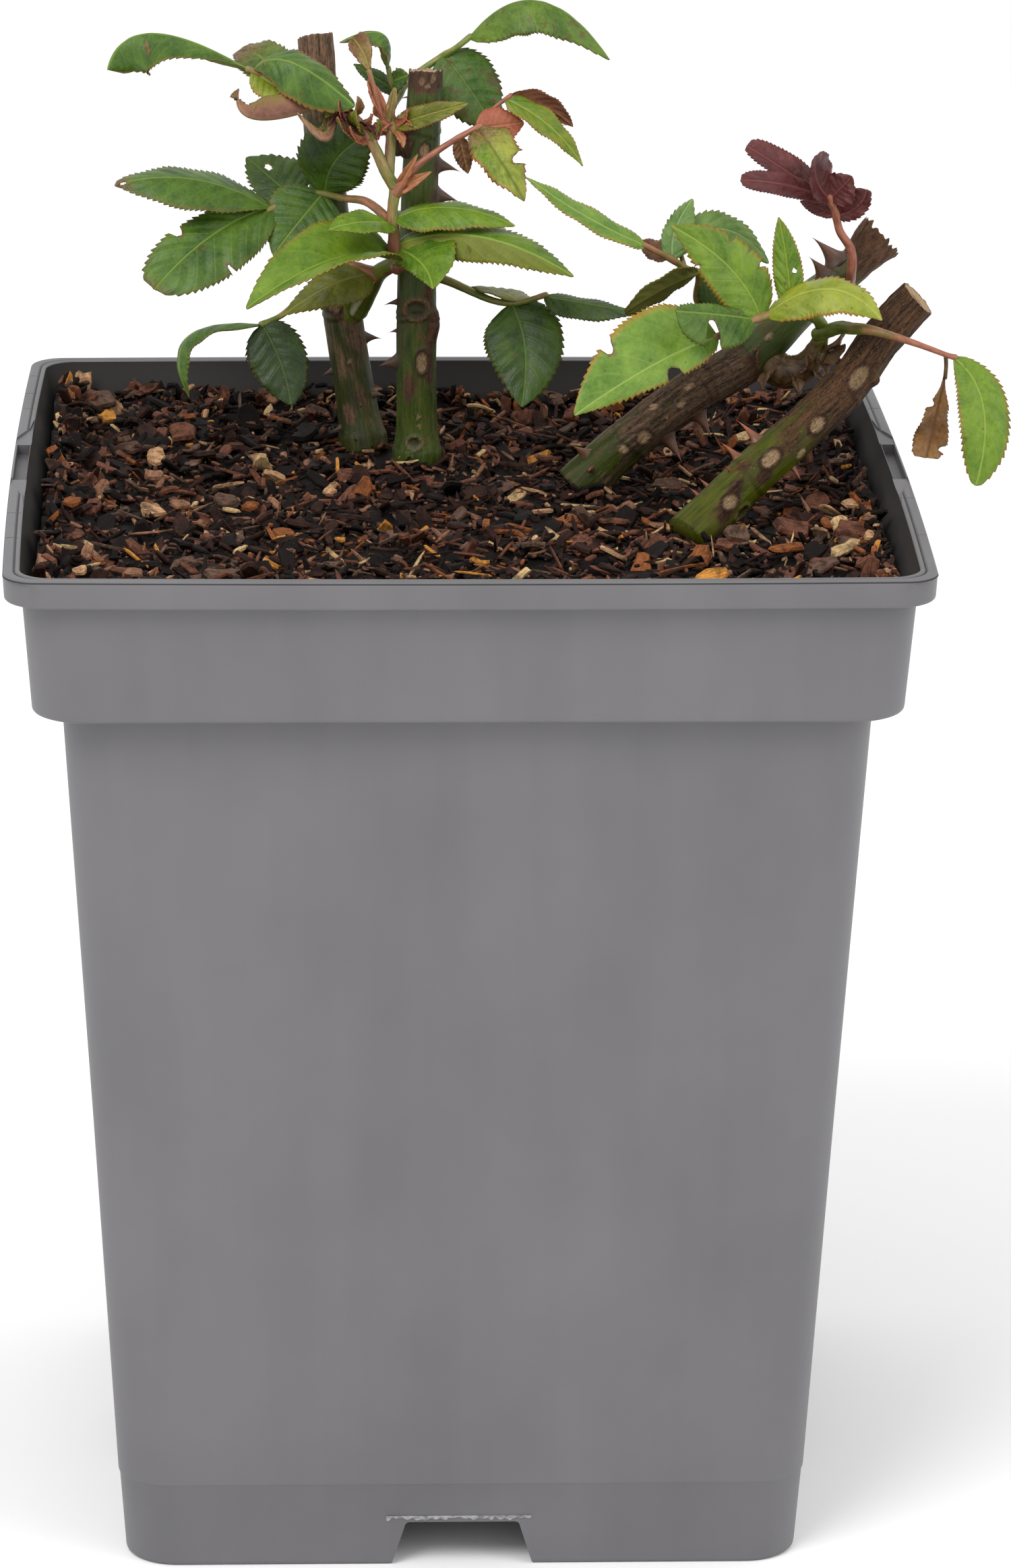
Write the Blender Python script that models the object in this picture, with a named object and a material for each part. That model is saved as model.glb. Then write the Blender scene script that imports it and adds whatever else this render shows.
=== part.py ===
"""A pruned young rose bush in its square nursery pot.

The part stands on the flat undersides of the pot's four feet at z = 0, with the plant's
front towards -Y. Lengths below are millimetres and are turned into metres when a mesh
is made. The origin is the middle of the part's box, at the floor.
"""

import math
import random

import bpy
from mathutils import Vector

MM = 0.001
CLEAR = 0.3          # air left between two pieces
SEED = 41
BOX_SHIFT = -11.6    # the leaf that overhangs the pot on +X moves the box's middle by this

# ---------------------------------------------------------------- pot sizes
POT_HEIGHT = 226.0
RIM_HALF = 95.0
RIM_HEIGHT = 6.0
RIM_INNER_HALF = 91.5
COLLAR_TOP_HALF = 91.3
COLLAR_FOOT_HALF = 89.6
COLLAR_FOOT_Z = 194.3
BODY_TOP_HALF = 83.7
BODY_FOOT_HALF = 72.5
WALL = 2.0
FLOOR = 12.5
CORNER_RIM = 9.0
CORNER_BODY = 11.0
CORNER_STEPS = 5
SIDE_STEPS = 4
RIM_BULGE = 1.1
NOTCH_HEIGHT = 10.2
NOTCH_TOP = 24.0
NOTCH_FOOT = 30.5

# ---------------------------------------------------------------- mulch
MULCH_TOP = 217.7
MULCH_GRID = 14
MULCH_SWELL = 2.2
MULCH_BUMPS = 40

# ---------------------------------------------------------------- stems and leaves
CANE_SIDES = 14
FLARE_HEIGHT = 3.0
SHEATH_SPARE = 0.12  # a sheath's flat sides lie inside its round, so it is a little wider
SHOOT_SIDES = 6
TWIG_SIDES = 3
LEAF_STATIONS = (0.0, 0.12, 0.3, 0.5, 0.7, 0.87, 1.0)
LEAF_OUTLINE = (0.1, 0.66, 0.96, 1.0, 0.86, 0.54, 0.07)   # half widths as shares of the widest
LEAF_THICK = 0.016                                  # share of a leaf's length
LEAF_THICK_LEAST = 0.4

COLOURS = {
    "pot_grey": ((0.215, 0.212, 0.220), 0.45),
    "bark_mulch": ((0.055, 0.028, 0.018), 0.9),
    "green_cane": ((0.060, 0.095, 0.022), 0.55),
    "brown_cane": ((0.095, 0.060, 0.035), 0.7),
    "dark_leaf": ((0.030, 0.105, 0.018), 0.45),
    "bright_leaf": ((0.085, 0.260, 0.025), 0.45),
    "red_leaf": ((0.190, 0.045, 0.050), 0.45),
}

# Each cane: its path from the flat cut at the mulch to its tip, radii along it, its root
# flare, the tilt of its pruning cut where that isn't square, and its thorns as (share of
# the way up, direction, length, foot).
CANES = {
    "cane_left": {
        "colour": "green_cane",
        "path": [(-20, 54, 218), (-22.8, 57, 235), (-25.5, 59, 253), (-27.6, 60, 272), (-29.3, 60.5, 291),
                 (-30.4, 61, 307)],
        "radii": (4.5, 3.9),
        "flare": 0.22,
        "cut": (-0.18, 0.3, 1.0),
        "thorns": [(0.03, (-1, -0.4, 0), 2.6, 3.0), (0.10, (0.9, -0.5, 0), 3.0, 4.0),
                   (0.08, (0.2, -1, 0), 1.6, 2.6), (0.17, (-1, -0.1, 0), 2.3, 3.2),
                   (0.24, (1, 0, 0), 3.3, 4.4), (0.68, (-1, 0, -0.1), 3.6, 3.2)],
    },
    "cane_centre": {
        "colour": "green_cane",
        "path": [(-8, 42, 218), (-8.2, 42, 232), (-8.2, 42, 246), (-8.2, 42, 256), (-7.8, 43, 273.6),
                 (-7, 43.5, 291.6), (-6.4, 44, 302.8)],
        "radii": (4.5, 3.7),
        "flare": 0.22,
        "cut": (0.0, 0.12, 1.0),
        "thorns": [(0.235, (-1, 0, 0), 4.2, 6.0), (0.32, (-1, -0.1, 0), 1.9, 2.2),
                   (0.395, (-1, 0, -0.2), 3.0, 2.6), (0.675, (1, 0.1, 0.1), 4.7, 4.4),
                   (0.755, (1, 0.1, 0.2), 4.4, 3.8), (0.90, (-0.8, -0.6, 0), 3.2, 2.2)],
    },
    "cane_right_back": {
        "colour": "brown_cane",
        "path": [(28.5, 17, 218), (34.5, 18, 223.4), (41.6, 19, 229), (52, 21.5, 236.2), (61.5, 25, 240.8)],
        "radii": (4.9, 4.9),
        "flare": 0.06,
        "cut": None,
        "thorns": [(0.08, (-0.5, -0.4, 0.8), 4.6, 4.4), (0.05, (-0.4, -0.9, 0.1), 4.4, 3.0),
                   (0.47, (0.3, -0.5, -1), 6.5, 4.6), (0.68, (0.2, -0.5, -1), 5.6, 5.0)],
    },
    "cane_right_front": {
        "colour": "brown_cane",
        "path": [(50.2, -23.5, 218), (57, -18.5, 223.2), (64.5, -13.5, 229), (81.3, 2, 240), (92, 13, 250.4),
                 (100.2, 19.6, 257.6)],
        "radii": (4.8, 4.5),
        "flare": 0.06,
        "cut": None,
        "thorns": [(0.06, (-0.7, 0, 0.7), 2.6, 1.8), (0.10, (-0.7, 0, 0.7), 2.8, 1.8),
                   (0.17, (-0.6, -0.5, 0.5), 2.6, 1.8), (0.22, (-0.7, 0, 0.7), 5.0, 3.4),
                   (0.30, (-0.7, 0, 0.7), 6.0, 4.0), (0.33, (0.7, -0.3, -0.7), 3.4, 2.6)],
    },
}

# Boughs: one tapering limb each. A bough starts inside the limb it grows from and is
# coped back to lie CLEAR of that limb's bark.
BOUGHS = {
    "bough_right": {
        "colour": "green_cane",
        "path": [(63, 25.6, 241.6), (69.1, 27, 247.1), (75.8, 29, 253.5), (86.2, 32, 261.1), (93, 34, 268)],
        "radii": (4.7, 3.5),
        "sides": CANE_SIDES,
        "grows_on": "cane_right_back",
        "end_flare": 1.2,
        "thorns": [(0.74, (-0.6, -0.2, 0.8), 7.6, 5.6), (0.64, (-0.9, -0.5, 0.2), 6.4, 4.6)],
    },
    "shoot_left": {
        "colour": "green_cane",
        "path": [(-24, 57.6, 244.6), (-21.2, 54.4, 247.4), (-18.6, 48.4, 253), (-16.6, 42, 258),
                 (-13.1, 33, 262.3)],
        "radii": (2.6, 1.7),
        "sides": 8,
        "grows_on": "cane_left",
        "end_flare": 1.0,
        "thorns": [],
    },
}


def blade(at, reach, width, face, bow=0.0, peak=0.5, sway=0.0, fold=0.0):
    """One leaflet: where it sits on its spray, its run from foot to tip, its width, the way
    its face looks, how far its midrib bows out and where, its sideways curve, and how far
    its halves fold up from the midrib, in degrees."""
    return {"at": at, "reach": reach, "width": width, "face": face, "bow": bow, "peak": peak,
            "sway": sway, "fold": fold}


# Masses of foliage. The first spray is the mass's stem; every later one starts on an
# earlier spray at a share of its length.
MASSES = {
    "foliage_left_whorl": {
        "colour": "bright_leaf",
        "grows_on": [("shoot_left", 0)],
        "sprays": [
            {"path": [(-13.1, 32.9, 262.7), (-13.6, 32, 269.3), (-13.9, 32, 273.8), (-13.3, 33, 278.4)],
             "radii": (1.7, 1.3),
             "leaves": [
                 blade(0.06, reach=(-32.5, -19, -6.5), width=15, face=(0.05, -0.25, 0.95), bow=4.8, peak=0.34,
                       sway=0.5, fold=28),
                 blade(0.22, reach=(8, -15, -5.5), width=11, face=(-0.3, -0.6, 0.7), sway=-2, fold=10),
                 blade(0.26, reach=(38.5, -15, -3.5), width=12, face=(0, -0.5, 0.85), bow=4.5, peak=0.42,
                       sway=-2.5, fold=-20),
                 blade(0.54, reach=(-14, -12, 1.5), width=9, face=(0, -0.45, 0.9), bow=1.2, fold=8),
                 blade(0.60, reach=(26.5, -6, 0), width=12, face=(0, -0.35, 0.95), bow=2.5, peak=0.4,
                       sway=-2, fold=-15),
             ]},
        ],
    },
    "foliage_left_middle": {
        "colour": "dark_leaf",
        "grows_on": [("foliage_left_whorl", 0)],
        "sprays": [
            {"path": [(-13.8, 32, 271.4), (-19.2, 38, 274.7), (-24.7, 46, 273.9), (-30.6, 50, 274.2),
                      (-36.9, 49, 272.3), (-41, 47, 270.8)],
             "radii": (1.1, 0.6),
             "leaves": [
                 blade(0.63, reach=(10, -8, 15), width=15, face=(0, -0.95, 0.3), bow=1, sway=-2.5, fold=6),
                 blade(0.64, reach=(-11, -8, -12), width=16, face=(0, -0.75, 0.65), bow=0.5, peak=0.4,
                       fold=6),
                 blade(0.82, reach=(-10.5, 12, 6.8), width=12, face=(0.2, -0.85, 0.5), peak=0.4, fold=6),
                 blade(0.97, reach=(-34.5, -3, 5.9), width=12, face=(0.1, -0.42, 0.9), bow=4.5, peak=0.54,
                       sway=0.5, fold=-15),
                 blade(0.93, reach=(-27, -14, -15.5), width=16.5, face=(-0.1, -0.8, 0.6), bow=1, peak=0.42,
                       sway=1.5, fold=6),
             ]},
        ],
    },
    "foliage_left_low": {
        "colour": "dark_leaf",
        "grows_on": [("shoot_left", 0)],
        "sprays": [
            {"path": [(-16.9, 42, 257.6), (-22.8, 42.4, 259.4), (-28.7, 45, 257), (-33.7, 44.5, 251.9),
                      (-38, 43, 248.2), (-42.7, 41, 246.5)],
             "radii": (1.4, 0.6),
             "leaves": [
                 blade(0.5, reach=(-8, -3, -8), width=5.5, face=(-0.4, -0.8, 0.3), bow=1, peak=0.3, fold=6),
                 blade(0.99, reach=(6.5, -7, -16.5), width=12.5, face=(0, -0.9, 0.4), sway=-1, fold=6),
                 blade(0.99, reach=(-16, -12, -13.5), width=8, face=(-0.65, 0, 0.75), bow=9.6, peak=0.75,
                       fold=-15),
             ]},
        ],
    },
    "foliage_left_top": {
        "colour": "dark_leaf",
        "grows_on": [("foliage_left_whorl", 0)],
        "sprays": [
            {"path": [(-13.2, 33.1, 278.9), (-15.4, 33, 282.7), (-17.3, 34, 286.8), (-19.3, 35, 290.4),
                      (-22.3, 36, 293.9), (-26.3, 37, 296.5), (-31.8, 38, 298.4), (-38, 39, 301),
                      (-45.5, 40, 303.9)],
             "radii": (1.5, 0.5),
             "leaves": [
                 blade(0.98, reach=(-31, -5, 1), width=14, face=(0, -0.2, 1), bow=8, peak=0.88, sway=1.5,
                       fold=-38),
                 blade(0.84, reach=(-9.5, 11, 3.6), width=11, face=(0, -0.6, 0.8), bow=2.5, sway=1.5, fold=6),
                 blade(0.86, reach=(17.5, -8, -3.5), width=12, face=(0, -0.45, 0.9), bow=5.5, peak=0.2,
                       fold=-22),
                 blade(0.56, reach=(-19.6, -6, 4), width=8, face=(0, 0.7, 0.7), bow=-6.8, peak=0.9, fold=30),
                 blade(0.52, reach=(-8.5, -5, -0.5), width=6, face=(0, 0.6, 0.8), bow=-7.4, peak=0.55,
                       fold=30),
                 blade(0.97, reach=(5, -6, -4.5), width=5, face=(0, -0.8, 0.6), bow=1, fold=14),
                 blade(0.36, reach=(-6, -6, 7), width=5, face=(0, -0.9, 0.4), fold=12),
             ]},
        ],
    },
    "foliage_top_centre": {
        "colour": "dark_leaf",
        "grows_on": [("foliage_left_top", 0)],
        "sprays": [
            {"path": [(-14.8, 33.4, 281), (-14.3, 36.5, 286.7), (-14, 39, 290.8), (-14.2, 42.5, 294),
                      (-12.8, 47.5, 295.6), (-9.9, 53, 298.8), (-3.8, 55, 302.9), (0.3, 54, 305.7),
                      (3.7, 54, 308.5)],
             "radii": (1.3, 0.6),
             "leaves": [
                 blade(0.98, reach=(31, -6, -3.5), width=14, face=(0, -0.25, 1), bow=10.6, peak=0.4, sway=-2,
                       fold=-30),
                 blade(0.90, reach=(8.5, -4, -15.5), width=12, face=(0.1, -0.9, 0.4), bow=1, peak=0.45,
                       fold=6),
                 blade(0.33, reach=(-8.6, 5, 17.5), width=5, face=(0, -1, 0.2), bow=0.5, sway=1.5, fold=14),
                 blade(0.52, reach=(-10, 3, 6), width=4, face=(0, -0.8, 0.6), fold=8),
                 blade(0.26, reach=(16.5, -5.5, 6.2), width=4.5, face=(0, -0.8, 0.5), bow=0.5, fold=16),
             ]},
            {"on": (0, 0.50), "path": [(-1.6, 0, 3.4), (-2.2, 0.4, 6.4)], "radii": (0.7, 0.5),
             "leaves": [
                 blade(0.97, reach=(-11.2, 3, 6), width=5, face=(0.2, -0.5, 0.85), bow=3.3, sway=1, fold=-20),
                 blade(0.5, reach=(3.6, -2, 2), width=5, face=(0, -0.8, 0.6), fold=8),
             ]},
        ],
    },
    "foliage_centre_red": {
        "colour": "red_leaf",
        "grows_on": [("foliage_left_whorl", 0), ("foliage_left_top", 0)],
        "sprays": [
            {"path": [(-13.4, 32.8, 277.2), (-11.7, 32.4, 280.5), (-8.3, 32.6, 284.2), (-3.4, 33, 287.7),
                      (1.1, 33, 290.5), (5.4, 34, 292.6)],
             "radii": (1.3, 0.8),
             "leaves": [
                 blade(0.96, reach=(10, -10, -14), width=10.5, face=(0.2, -0.85, 0.45), bow=1, peak=0.36,
                       fold=6),
                 blade(0.95, reach=(10.5, 3, 0.2), width=4, face=(0, -0.9, 0.4), fold=8),
                 blade(0.78, reach=(2, 0, -8), width=4, face=(0, -1, 0.1), fold=6),
             ]},
            {"on": (0, 0.97), "path": [(3, 3.5, 3), (7.4, 5, 6.2)], "radii": (0.7, 0.5),
             "leaves": [
                 blade(0.97, reach=(14, 6, -8), width=6, face=(0, 0.8, 0.5), bow=0.8, peak=0.44, sway=1,
                       fold=6),
                 blade(0.85, reach=(16.8, -6, -13.5), width=5, face=(0.3, -0.7, 0.6), bow=1.6, sway=-1,
                       fold=12),
             ]},
        ],
    },
    "foliage_centre_low": {
        "colour": "dark_leaf",
        "grows_on": [("cane_centre", 0)],
        "sprays": [
            {"path": [(-7, 43, 256.9), (-1.4, 45, 255.5), (8, 40, 252.4), (13.6, 38, 252.2),
                      (20.1, 36, 254.5)],
             "radii": (1.1, 0.6),
             "leaves": [
                 blade(0.72, reach=(2, -12, -20.5), width=17, face=(0, -0.85, 0.45), bow=0.5, peak=0.41,
                       sway=-2, fold=6),
                 blade(0.80, reach=(-10, 14, 0), width=12, face=(0, 0.3, 0.95), bow=1, fold=6),
                 blade(0.98, reach=(20.5, -8, -2), width=8, face=(0, -0.45, 0.9), peak=0.41, fold=-20),
             ]},
        ],
    },
    "foliage_back": {
        "colour": "dark_leaf",
        "grows_on": [("cane_centre", 0)],
        "sprays": [
            {"path": [(-8, 44, 262), (-6, 51, 264), (-4, 57, 264), (-4, 63, 262.5)],
             "radii": (1.1, 0.6),
             "leaves": [
                 blade(0.98, reach=(-1, 22, -4), width=15, face=(0, 0.2, 0.97), bow=2, fold=8),
                 blade(0.70, reach=(12, 13, 0), width=11, face=(0.1, 0.1, 0.97), bow=1.5, fold=8),
                 blade(0.72, reach=(-12, 12, 1), width=11, face=(-0.1, 0.1, 0.97), bow=1.5, fold=8),
             ]},
        ],
    },
    "foliage_right_left": {
        "colour": "bright_leaf",
        "grows_on": [("bough_right", 0), ("cane_right_back", 0)],
        "sprays": [
            {"path": [(65, 26, 245), (58.6, 24, 251), (52.4, 21, 256.5), (52.5, 18.5, 263), (49.7, 18, 264.4),
                      (45.6, 17, 267.2), (40.2, 16, 270.1)],
             "radii": (1.1, 0.6),
             "leaves": [
                 blade(0.98, reach=(-26.5, -8, 17), width=7, face=(0.3, -0.5, 0.8), bow=-1.2),
                 blade(0.84, reach=(-6, 9, 2), width=5, face=(0, -0.8, 0.5), fold=8),
                 blade(0.82, reach=(4.5, 7, 12), width=7, face=(-0.2, -0.9, 0.3), peak=0.41, sway=-1.5,
                       fold=8),
                 blade(0.66, reach=(-16.5, -10, -6.4), width=9, face=(0, 0.75, 0.65), peak=0.38,
                       sway=-1.5, fold=8),
                 blade(0.62, reach=(11, 6, -8), width=10, face=(0, -0.9, 0.3), fold=8),
             ]},
            {"on": (0, 0.74), "path": [(-1.4, 3.6, 4.6)], "radii": (0.6, 0.5),
             "leaves": [
                 blade(0.96, reach=(20.5, 8, -6), width=10.5, face=(0.1, -0.75, 0.65), bow=3.4, peak=0.39,
                       sway=-3, fold=6),
             ]},
        ],
    },
    "foliage_right_centre": {
        "colour": "bright_leaf",
        "grows_on": [("bough_right", 0), ("cane_right_back", 0)],
        "sprays": [
            {"path": [(66, 26.6, 243.2), (72, 24.5, 240), (77.4, 22.5, 242.8), (79.2, 18, 252),
                      (73, 12, 256.4), (66.5, 8, 256.5), (60.6, 6, 254.7), (55, 4, 252.5)],
             "radii": (3.2, 3.3, 2.4, 1.5, 1.1, 0.9, 0.8, 0.7),
             "leaves": [
                 blade(0.985, reach=(-31.5, -16, -13.4), width=16.5, face=(0, -0.85, 0.5), bow=1.5, peak=0.39,
                       sway=3.5, fold=6),
                 blade(0.80, reach=(-19.5, -2, 20.5), width=12, face=(0.25, -0.9, 0.35), bow=1, peak=0.41,
                       sway=2.5, fold=6),
                 blade(0.78, reach=(24.5, -8, 1), width=11, face=(0, -0.55, 0.85), bow=4.8, peak=0.57,
                       sway=-4, fold=-15),
                 blade(0.82, reach=(-18, -12, 4.6), width=9, face=(0, -0.85, 0.5), bow=0.5, sway=-2),
                 blade(0.66, reach=(-2.8, 3, 20), width=6, face=(0, -1, 0.1), sway=0.5, fold=10),
             ]},
        ],
    },
    "foliage_right_far": {
        "colour": "bright_leaf",
        "grows_on": [("foliage_right_centre", 0)],
        "sprays": [
            {"path": [(78.4, 19.5, 249.4), (82.6, 13, 252.6), (85, 8, 253.6), (88, 4.5, 254.2),
                      (91.5, 2.5, 253.8), (98, 1, 252), (105, 0, 249.6), (106.8, 0, 249.2)],
             "radii": (1.4, 0.8),
             "leaves": [
                 blade(0.985, reach=(4.5, -10, -26), width=12, face=(0.25, -0.9, 0.35), bow=2.5, peak=0.36,
                       sway=-3.8, fold=6),
             ]},
            {"on": (0, 0.94), "path": [(0.4, 1.5, -4), (1.4, 1.5, -9)], "radii": (0.5, 0.4),
             "leaves": [blade(0.95, reach=(-1.6, 2, -14.5), width=5.5, face=(0.2, -0.9, 0.1), fold=10)]},
        ],
    },
    "foliage_right_red": {
        "colour": "red_leaf",
        "grows_on": [("bough_right", 0)],
        "sprays": [
            {"path": [(86.3, 31, 258), (86.2, 26, 262), (85.9, 25, 267), (83.2, 24, 271.5), (82.1, 23, 275.7),
                      (80.4, 22, 279.6)],
             "radii": (1.3, 0.7),
             "leaves": [
                 blade(0.97, reach=(-18, 4, 11), width=4.5, face=(0, -0.9, 0.5), bow=0.5, sway=0.7, fold=10),
                 blade(0.96, reach=(-20, -6, 5.8), width=3.8, face=(0, -0.9, 0.5), bow=0.5, sway=1, fold=10),
                 blade(0.97, reach=(-4, -8, 11.2), width=7.5, face=(0.5, -0.8, 0.4), bow=-1, sway=-1,
                       fold=12),
                 blade(0.97, reach=(4.5, -2, 5.5), width=8, face=(0, -0.9, 0.4), fold=12),
                 blade(0.82, reach=(6.4, -3, 6.3), width=6.4, face=(0.2, -0.9, 0.4), sway=0.3, fold=12),
                 blade(0.82, reach=(-7.5, 5, 2), width=3.4, face=(0, -0.9, 0.4), bow=0.5, fold=8),
             ]},
        ],
    },
}


# ================================================================ small helpers
def clear_scene():
    for obj in list(bpy.data.objects):
        bpy.data.objects.remove(obj, do_unlink=True)


def metres(point):
    """A design point in millimetres, moved into the part's frame in metres."""
    x, y, z = point
    return Vector(((x + BOX_SHIFT) * MM, y * MM, z * MM))


def material(name):
    if name in bpy.data.materials:
        return bpy.data.materials[name]
    colour, roughness = COLOURS[name]
    made = bpy.data.materials.new(name)
    made.use_nodes = True
    shader = made.node_tree.nodes["Principled BSDF"]
    shader.inputs["Base Color"].default_value = (*colour, 1.0)
    shader.inputs["Roughness"].default_value = roughness
    shader.inputs["Metallic"].default_value = 0.0
    made.diffuse_color = (*colour, 1.0)
    return made


def make_object(name, points, faces):
    mesh = bpy.data.meshes.new(name)
    mesh.from_pydata([metres(p) for p in points], [], faces)
    mesh.validate()
    obj = bpy.data.objects.new(name, mesh)
    bpy.context.scene.collection.objects.link(obj)
    return obj


def set_look(obj, colour, smooth=True):
    obj.data.materials.clear()
    obj.data.materials.append(material(colour))
    if smooth:
        obj.data.shade_smooth()
        obj.data.set_sharp_from_angle(angle=math.radians(40))


def bake_modifiers(obj):
    """Replace the object's mesh by what its modifiers make of it."""
    graph = bpy.context.evaluated_depsgraph_get()
    result = bpy.data.meshes.new_from_object(obj.evaluated_get(graph))
    obj.modifiers.clear()
    obj.data = result


def combine(target, others, operation, solver="EXACT"):
    """One Boolean of the target with a collection of others, which are then removed."""
    group = bpy.data.collections.new("operands")
    bpy.context.scene.collection.children.link(group)
    for other in others:
        bpy.context.scene.collection.objects.unlink(other)
        group.objects.link(other)
    step = target.modifiers.new("combine", "BOOLEAN")
    step.operation = operation
    step.operand_type = "COLLECTION"
    step.collection = group
    step.solver = solver
    bake_modifiers(target)
    for other in others:
        bpy.data.objects.remove(other, do_unlink=True)
    bpy.data.collections.remove(group)


def keep_largest_body(obj):
    """Drop any loose scrap that a cut has left beside the main body."""
    mesh = obj.data
    links = [[] for _ in mesh.vertices]
    for edge in mesh.edges:
        a, b = edge.vertices
        links[a].append(b)
        links[b].append(a)
    group_of = [-1] * len(links)
    sizes = []
    for start in range(len(links)):
        if group_of[start] >= 0:
            continue
        queue = [start]
        group_of[start] = len(sizes)
        count = 0
        while queue:
            vertex = queue.pop()
            count += 1
            for other in links[vertex]:
                if group_of[other] < 0:
                    group_of[other] = len(sizes)
                    queue.append(other)
        sizes.append(count)
    if len(sizes) < 2:
        return
    main = sizes.index(max(sizes))
    kept = {old: new for new, old in enumerate(i for i, g in enumerate(group_of) if g == main)}
    points = [mesh.vertices[i].co.copy() for i in kept]
    faces = [[kept[v] for v in face.vertices] for face in mesh.polygons if face.vertices[0] in kept]
    clean = bpy.data.meshes.new(mesh.name)
    clean.from_pydata(points, [], faces)
    obj.data = clean


# ================================================================ curves
def smooth_path(points, per_span):
    """Points along a smooth curve that runs through the given ones."""
    knots = [Vector(p) for p in points]
    if len(knots) == 2:
        return [knots[0].lerp(knots[1], i / per_span) for i in range(per_span + 1)]
    padded = [knots[0] * 2 - knots[1]] + knots + [knots[-1] * 2 - knots[-2]]
    out = []
    for i in range(1, len(padded) - 2):
        p0, p1, p2, p3 = padded[i - 1:i + 3]
        for j in range(per_span):
            t = j / per_span
            a = p1 * 2 + (p2 - p0) * t
            b = (p0 * 2 - p1 * 5 + p2 * 4 - p3) * t * t
            c = (p1 * 3 - p0 - p2 * 3 + p3) * t * t * t
            out.append((a + b + c) * 0.5)
    out.append(knots[-1])
    return out


def at_share(path, share):
    """Point and direction at a share of a path's length."""
    lengths = [0.0]
    for a, b in zip(path, path[1:]):
        lengths.append(lengths[-1] + (b - a).length)
    target = share * lengths[-1]
    for i in range(len(path) - 1):
        if lengths[i + 1] >= target or i == len(path) - 2:
            span = max(lengths[i + 1] - lengths[i], 1e-9)
            step = path[i + 1] - path[i]
            return path[i] + step * ((target - lengths[i]) / span), step.normalized()
    return path[-1], (path[-1] - path[-2]).normalized()


def sideways(direction, wish):
    """The part of a wished direction that is square to the given one."""
    square = Vector(wish) - direction * Vector(wish).dot(direction)
    return square.normalized()


def tube(name, path, radii, sides, extra=0.0, cut=None):
    """A closed tapering tube along a path. extra widens it; cut tilts its upper end."""
    rings = []
    across = sideways((path[1] - path[0]).normalized(), (1.0, 0.13, 0.07))
    for i, centre in enumerate(path):
        ahead = path[min(i + 1, len(path) - 1)] - path[max(i - 1, 0)]
        ahead.normalize()
        across = sideways(ahead, across)
        other = ahead.cross(across)
        radius = radii[i] + extra
        ring = []
        for k in range(sides):
            turn = 2 * math.pi * k / sides
            ring.append(centre + (across * math.cos(turn) + other * math.sin(turn)) * radius)
        rings.append(ring)
    if cut:
        plane = Vector(cut).normalized()
        end, ahead = path[-1], (path[-1] - path[-2]).normalized()
        rings[-1] = [p + ahead * ((end - p).dot(plane) / ahead.dot(plane)) for p in rings[-1]]
    points = [p for ring in rings for p in ring]
    faces = []
    for i in range(len(rings) - 1):
        for k in range(sides):
            a, b = i * sides + k, i * sides + (k + 1) % sides
            faces.append((a, b, b + sides, a + sides))
    faces.append(tuple(reversed(range(sides))))
    faces.append(tuple(range(len(points) - sides, len(points))))
    return make_object(name, points, faces)


def tapered(path, radii):
    """Radii for every point of a path, from a few given evenly along it."""
    out = []
    for i in range(len(path)):
        place = i / (len(path) - 1) * (len(radii) - 1)
        low = min(int(place), len(radii) - 2)
        out.append(radii[low] + (radii[low + 1] - radii[low]) * (place - low))
    return out


# ================================================================ pot and mulch
def turned(x, y, quarter, z):
    """A point given on the first side, turned to the pot's other sides."""
    spots = ((x, y), (-y, x), (-x, -y), (y, -x))
    return Vector((*spots[quarter], z))


def rounded_square(half, corner, z, bulge=0.0):
    """A ring with round corners, whose sides bow out by bulge at their middle."""
    points = []
    straight = half - corner
    for quarter in range(4):
        for step in range(SIDE_STEPS):
            y = straight * (2 * step / SIDE_STEPS - 1)
            if step:
                points.append(turned(half + bulge * (1 - (y / straight) ** 2), y, quarter, z))
        for step in range(CORNER_STEPS):
            angle = math.pi / 2 * step / (CORNER_STEPS - 1)
            x, y = straight + corner * math.cos(angle), straight + corner * math.sin(angle)
            points.append(turned(x, y, quarter, z))
    return points


def body_half(z):
    """Half width of the pot's body outside, at a height."""
    return BODY_FOOT_HALF + (BODY_TOP_HALF - BODY_FOOT_HALF) * z / COLLAR_FOOT_Z


def collar_half(z):
    share = (z - COLLAR_FOOT_Z) / (POT_HEIGHT - RIM_HEIGHT - COLLAR_FOOT_Z)
    return COLLAR_FOOT_HALF + (COLLAR_TOP_HALF - COLLAR_FOOT_HALF) * share


def inside_half(z):
    """Half width of the space inside the pot, at a height."""
    step_z = COLLAR_FOOT_Z + WALL
    if z <= step_z:
        return body_half(min(z, COLLAR_FOOT_Z)) - WALL
    share = min(1.0, (z - step_z) / 4.0)
    return body_half(COLLAR_FOOT_Z) - WALL + share * (collar_half(z) - WALL - body_half(COLLAR_FOOT_Z) + WALL)


def loft(name, rings):
    size = len(rings[0])
    points = [p for ring in rings for p in ring]
    faces = []
    for i in range(len(rings) - 1):
        for k in range(size):
            a, b = i * size + k, i * size + (k + 1) % size
            faces.append((a, b, b + size, a + size))
    faces.append(tuple(reversed(range(size))))
    faces.append(tuple(range(len(points) - size, len(points))))
    return make_object(name, points, faces)


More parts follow.
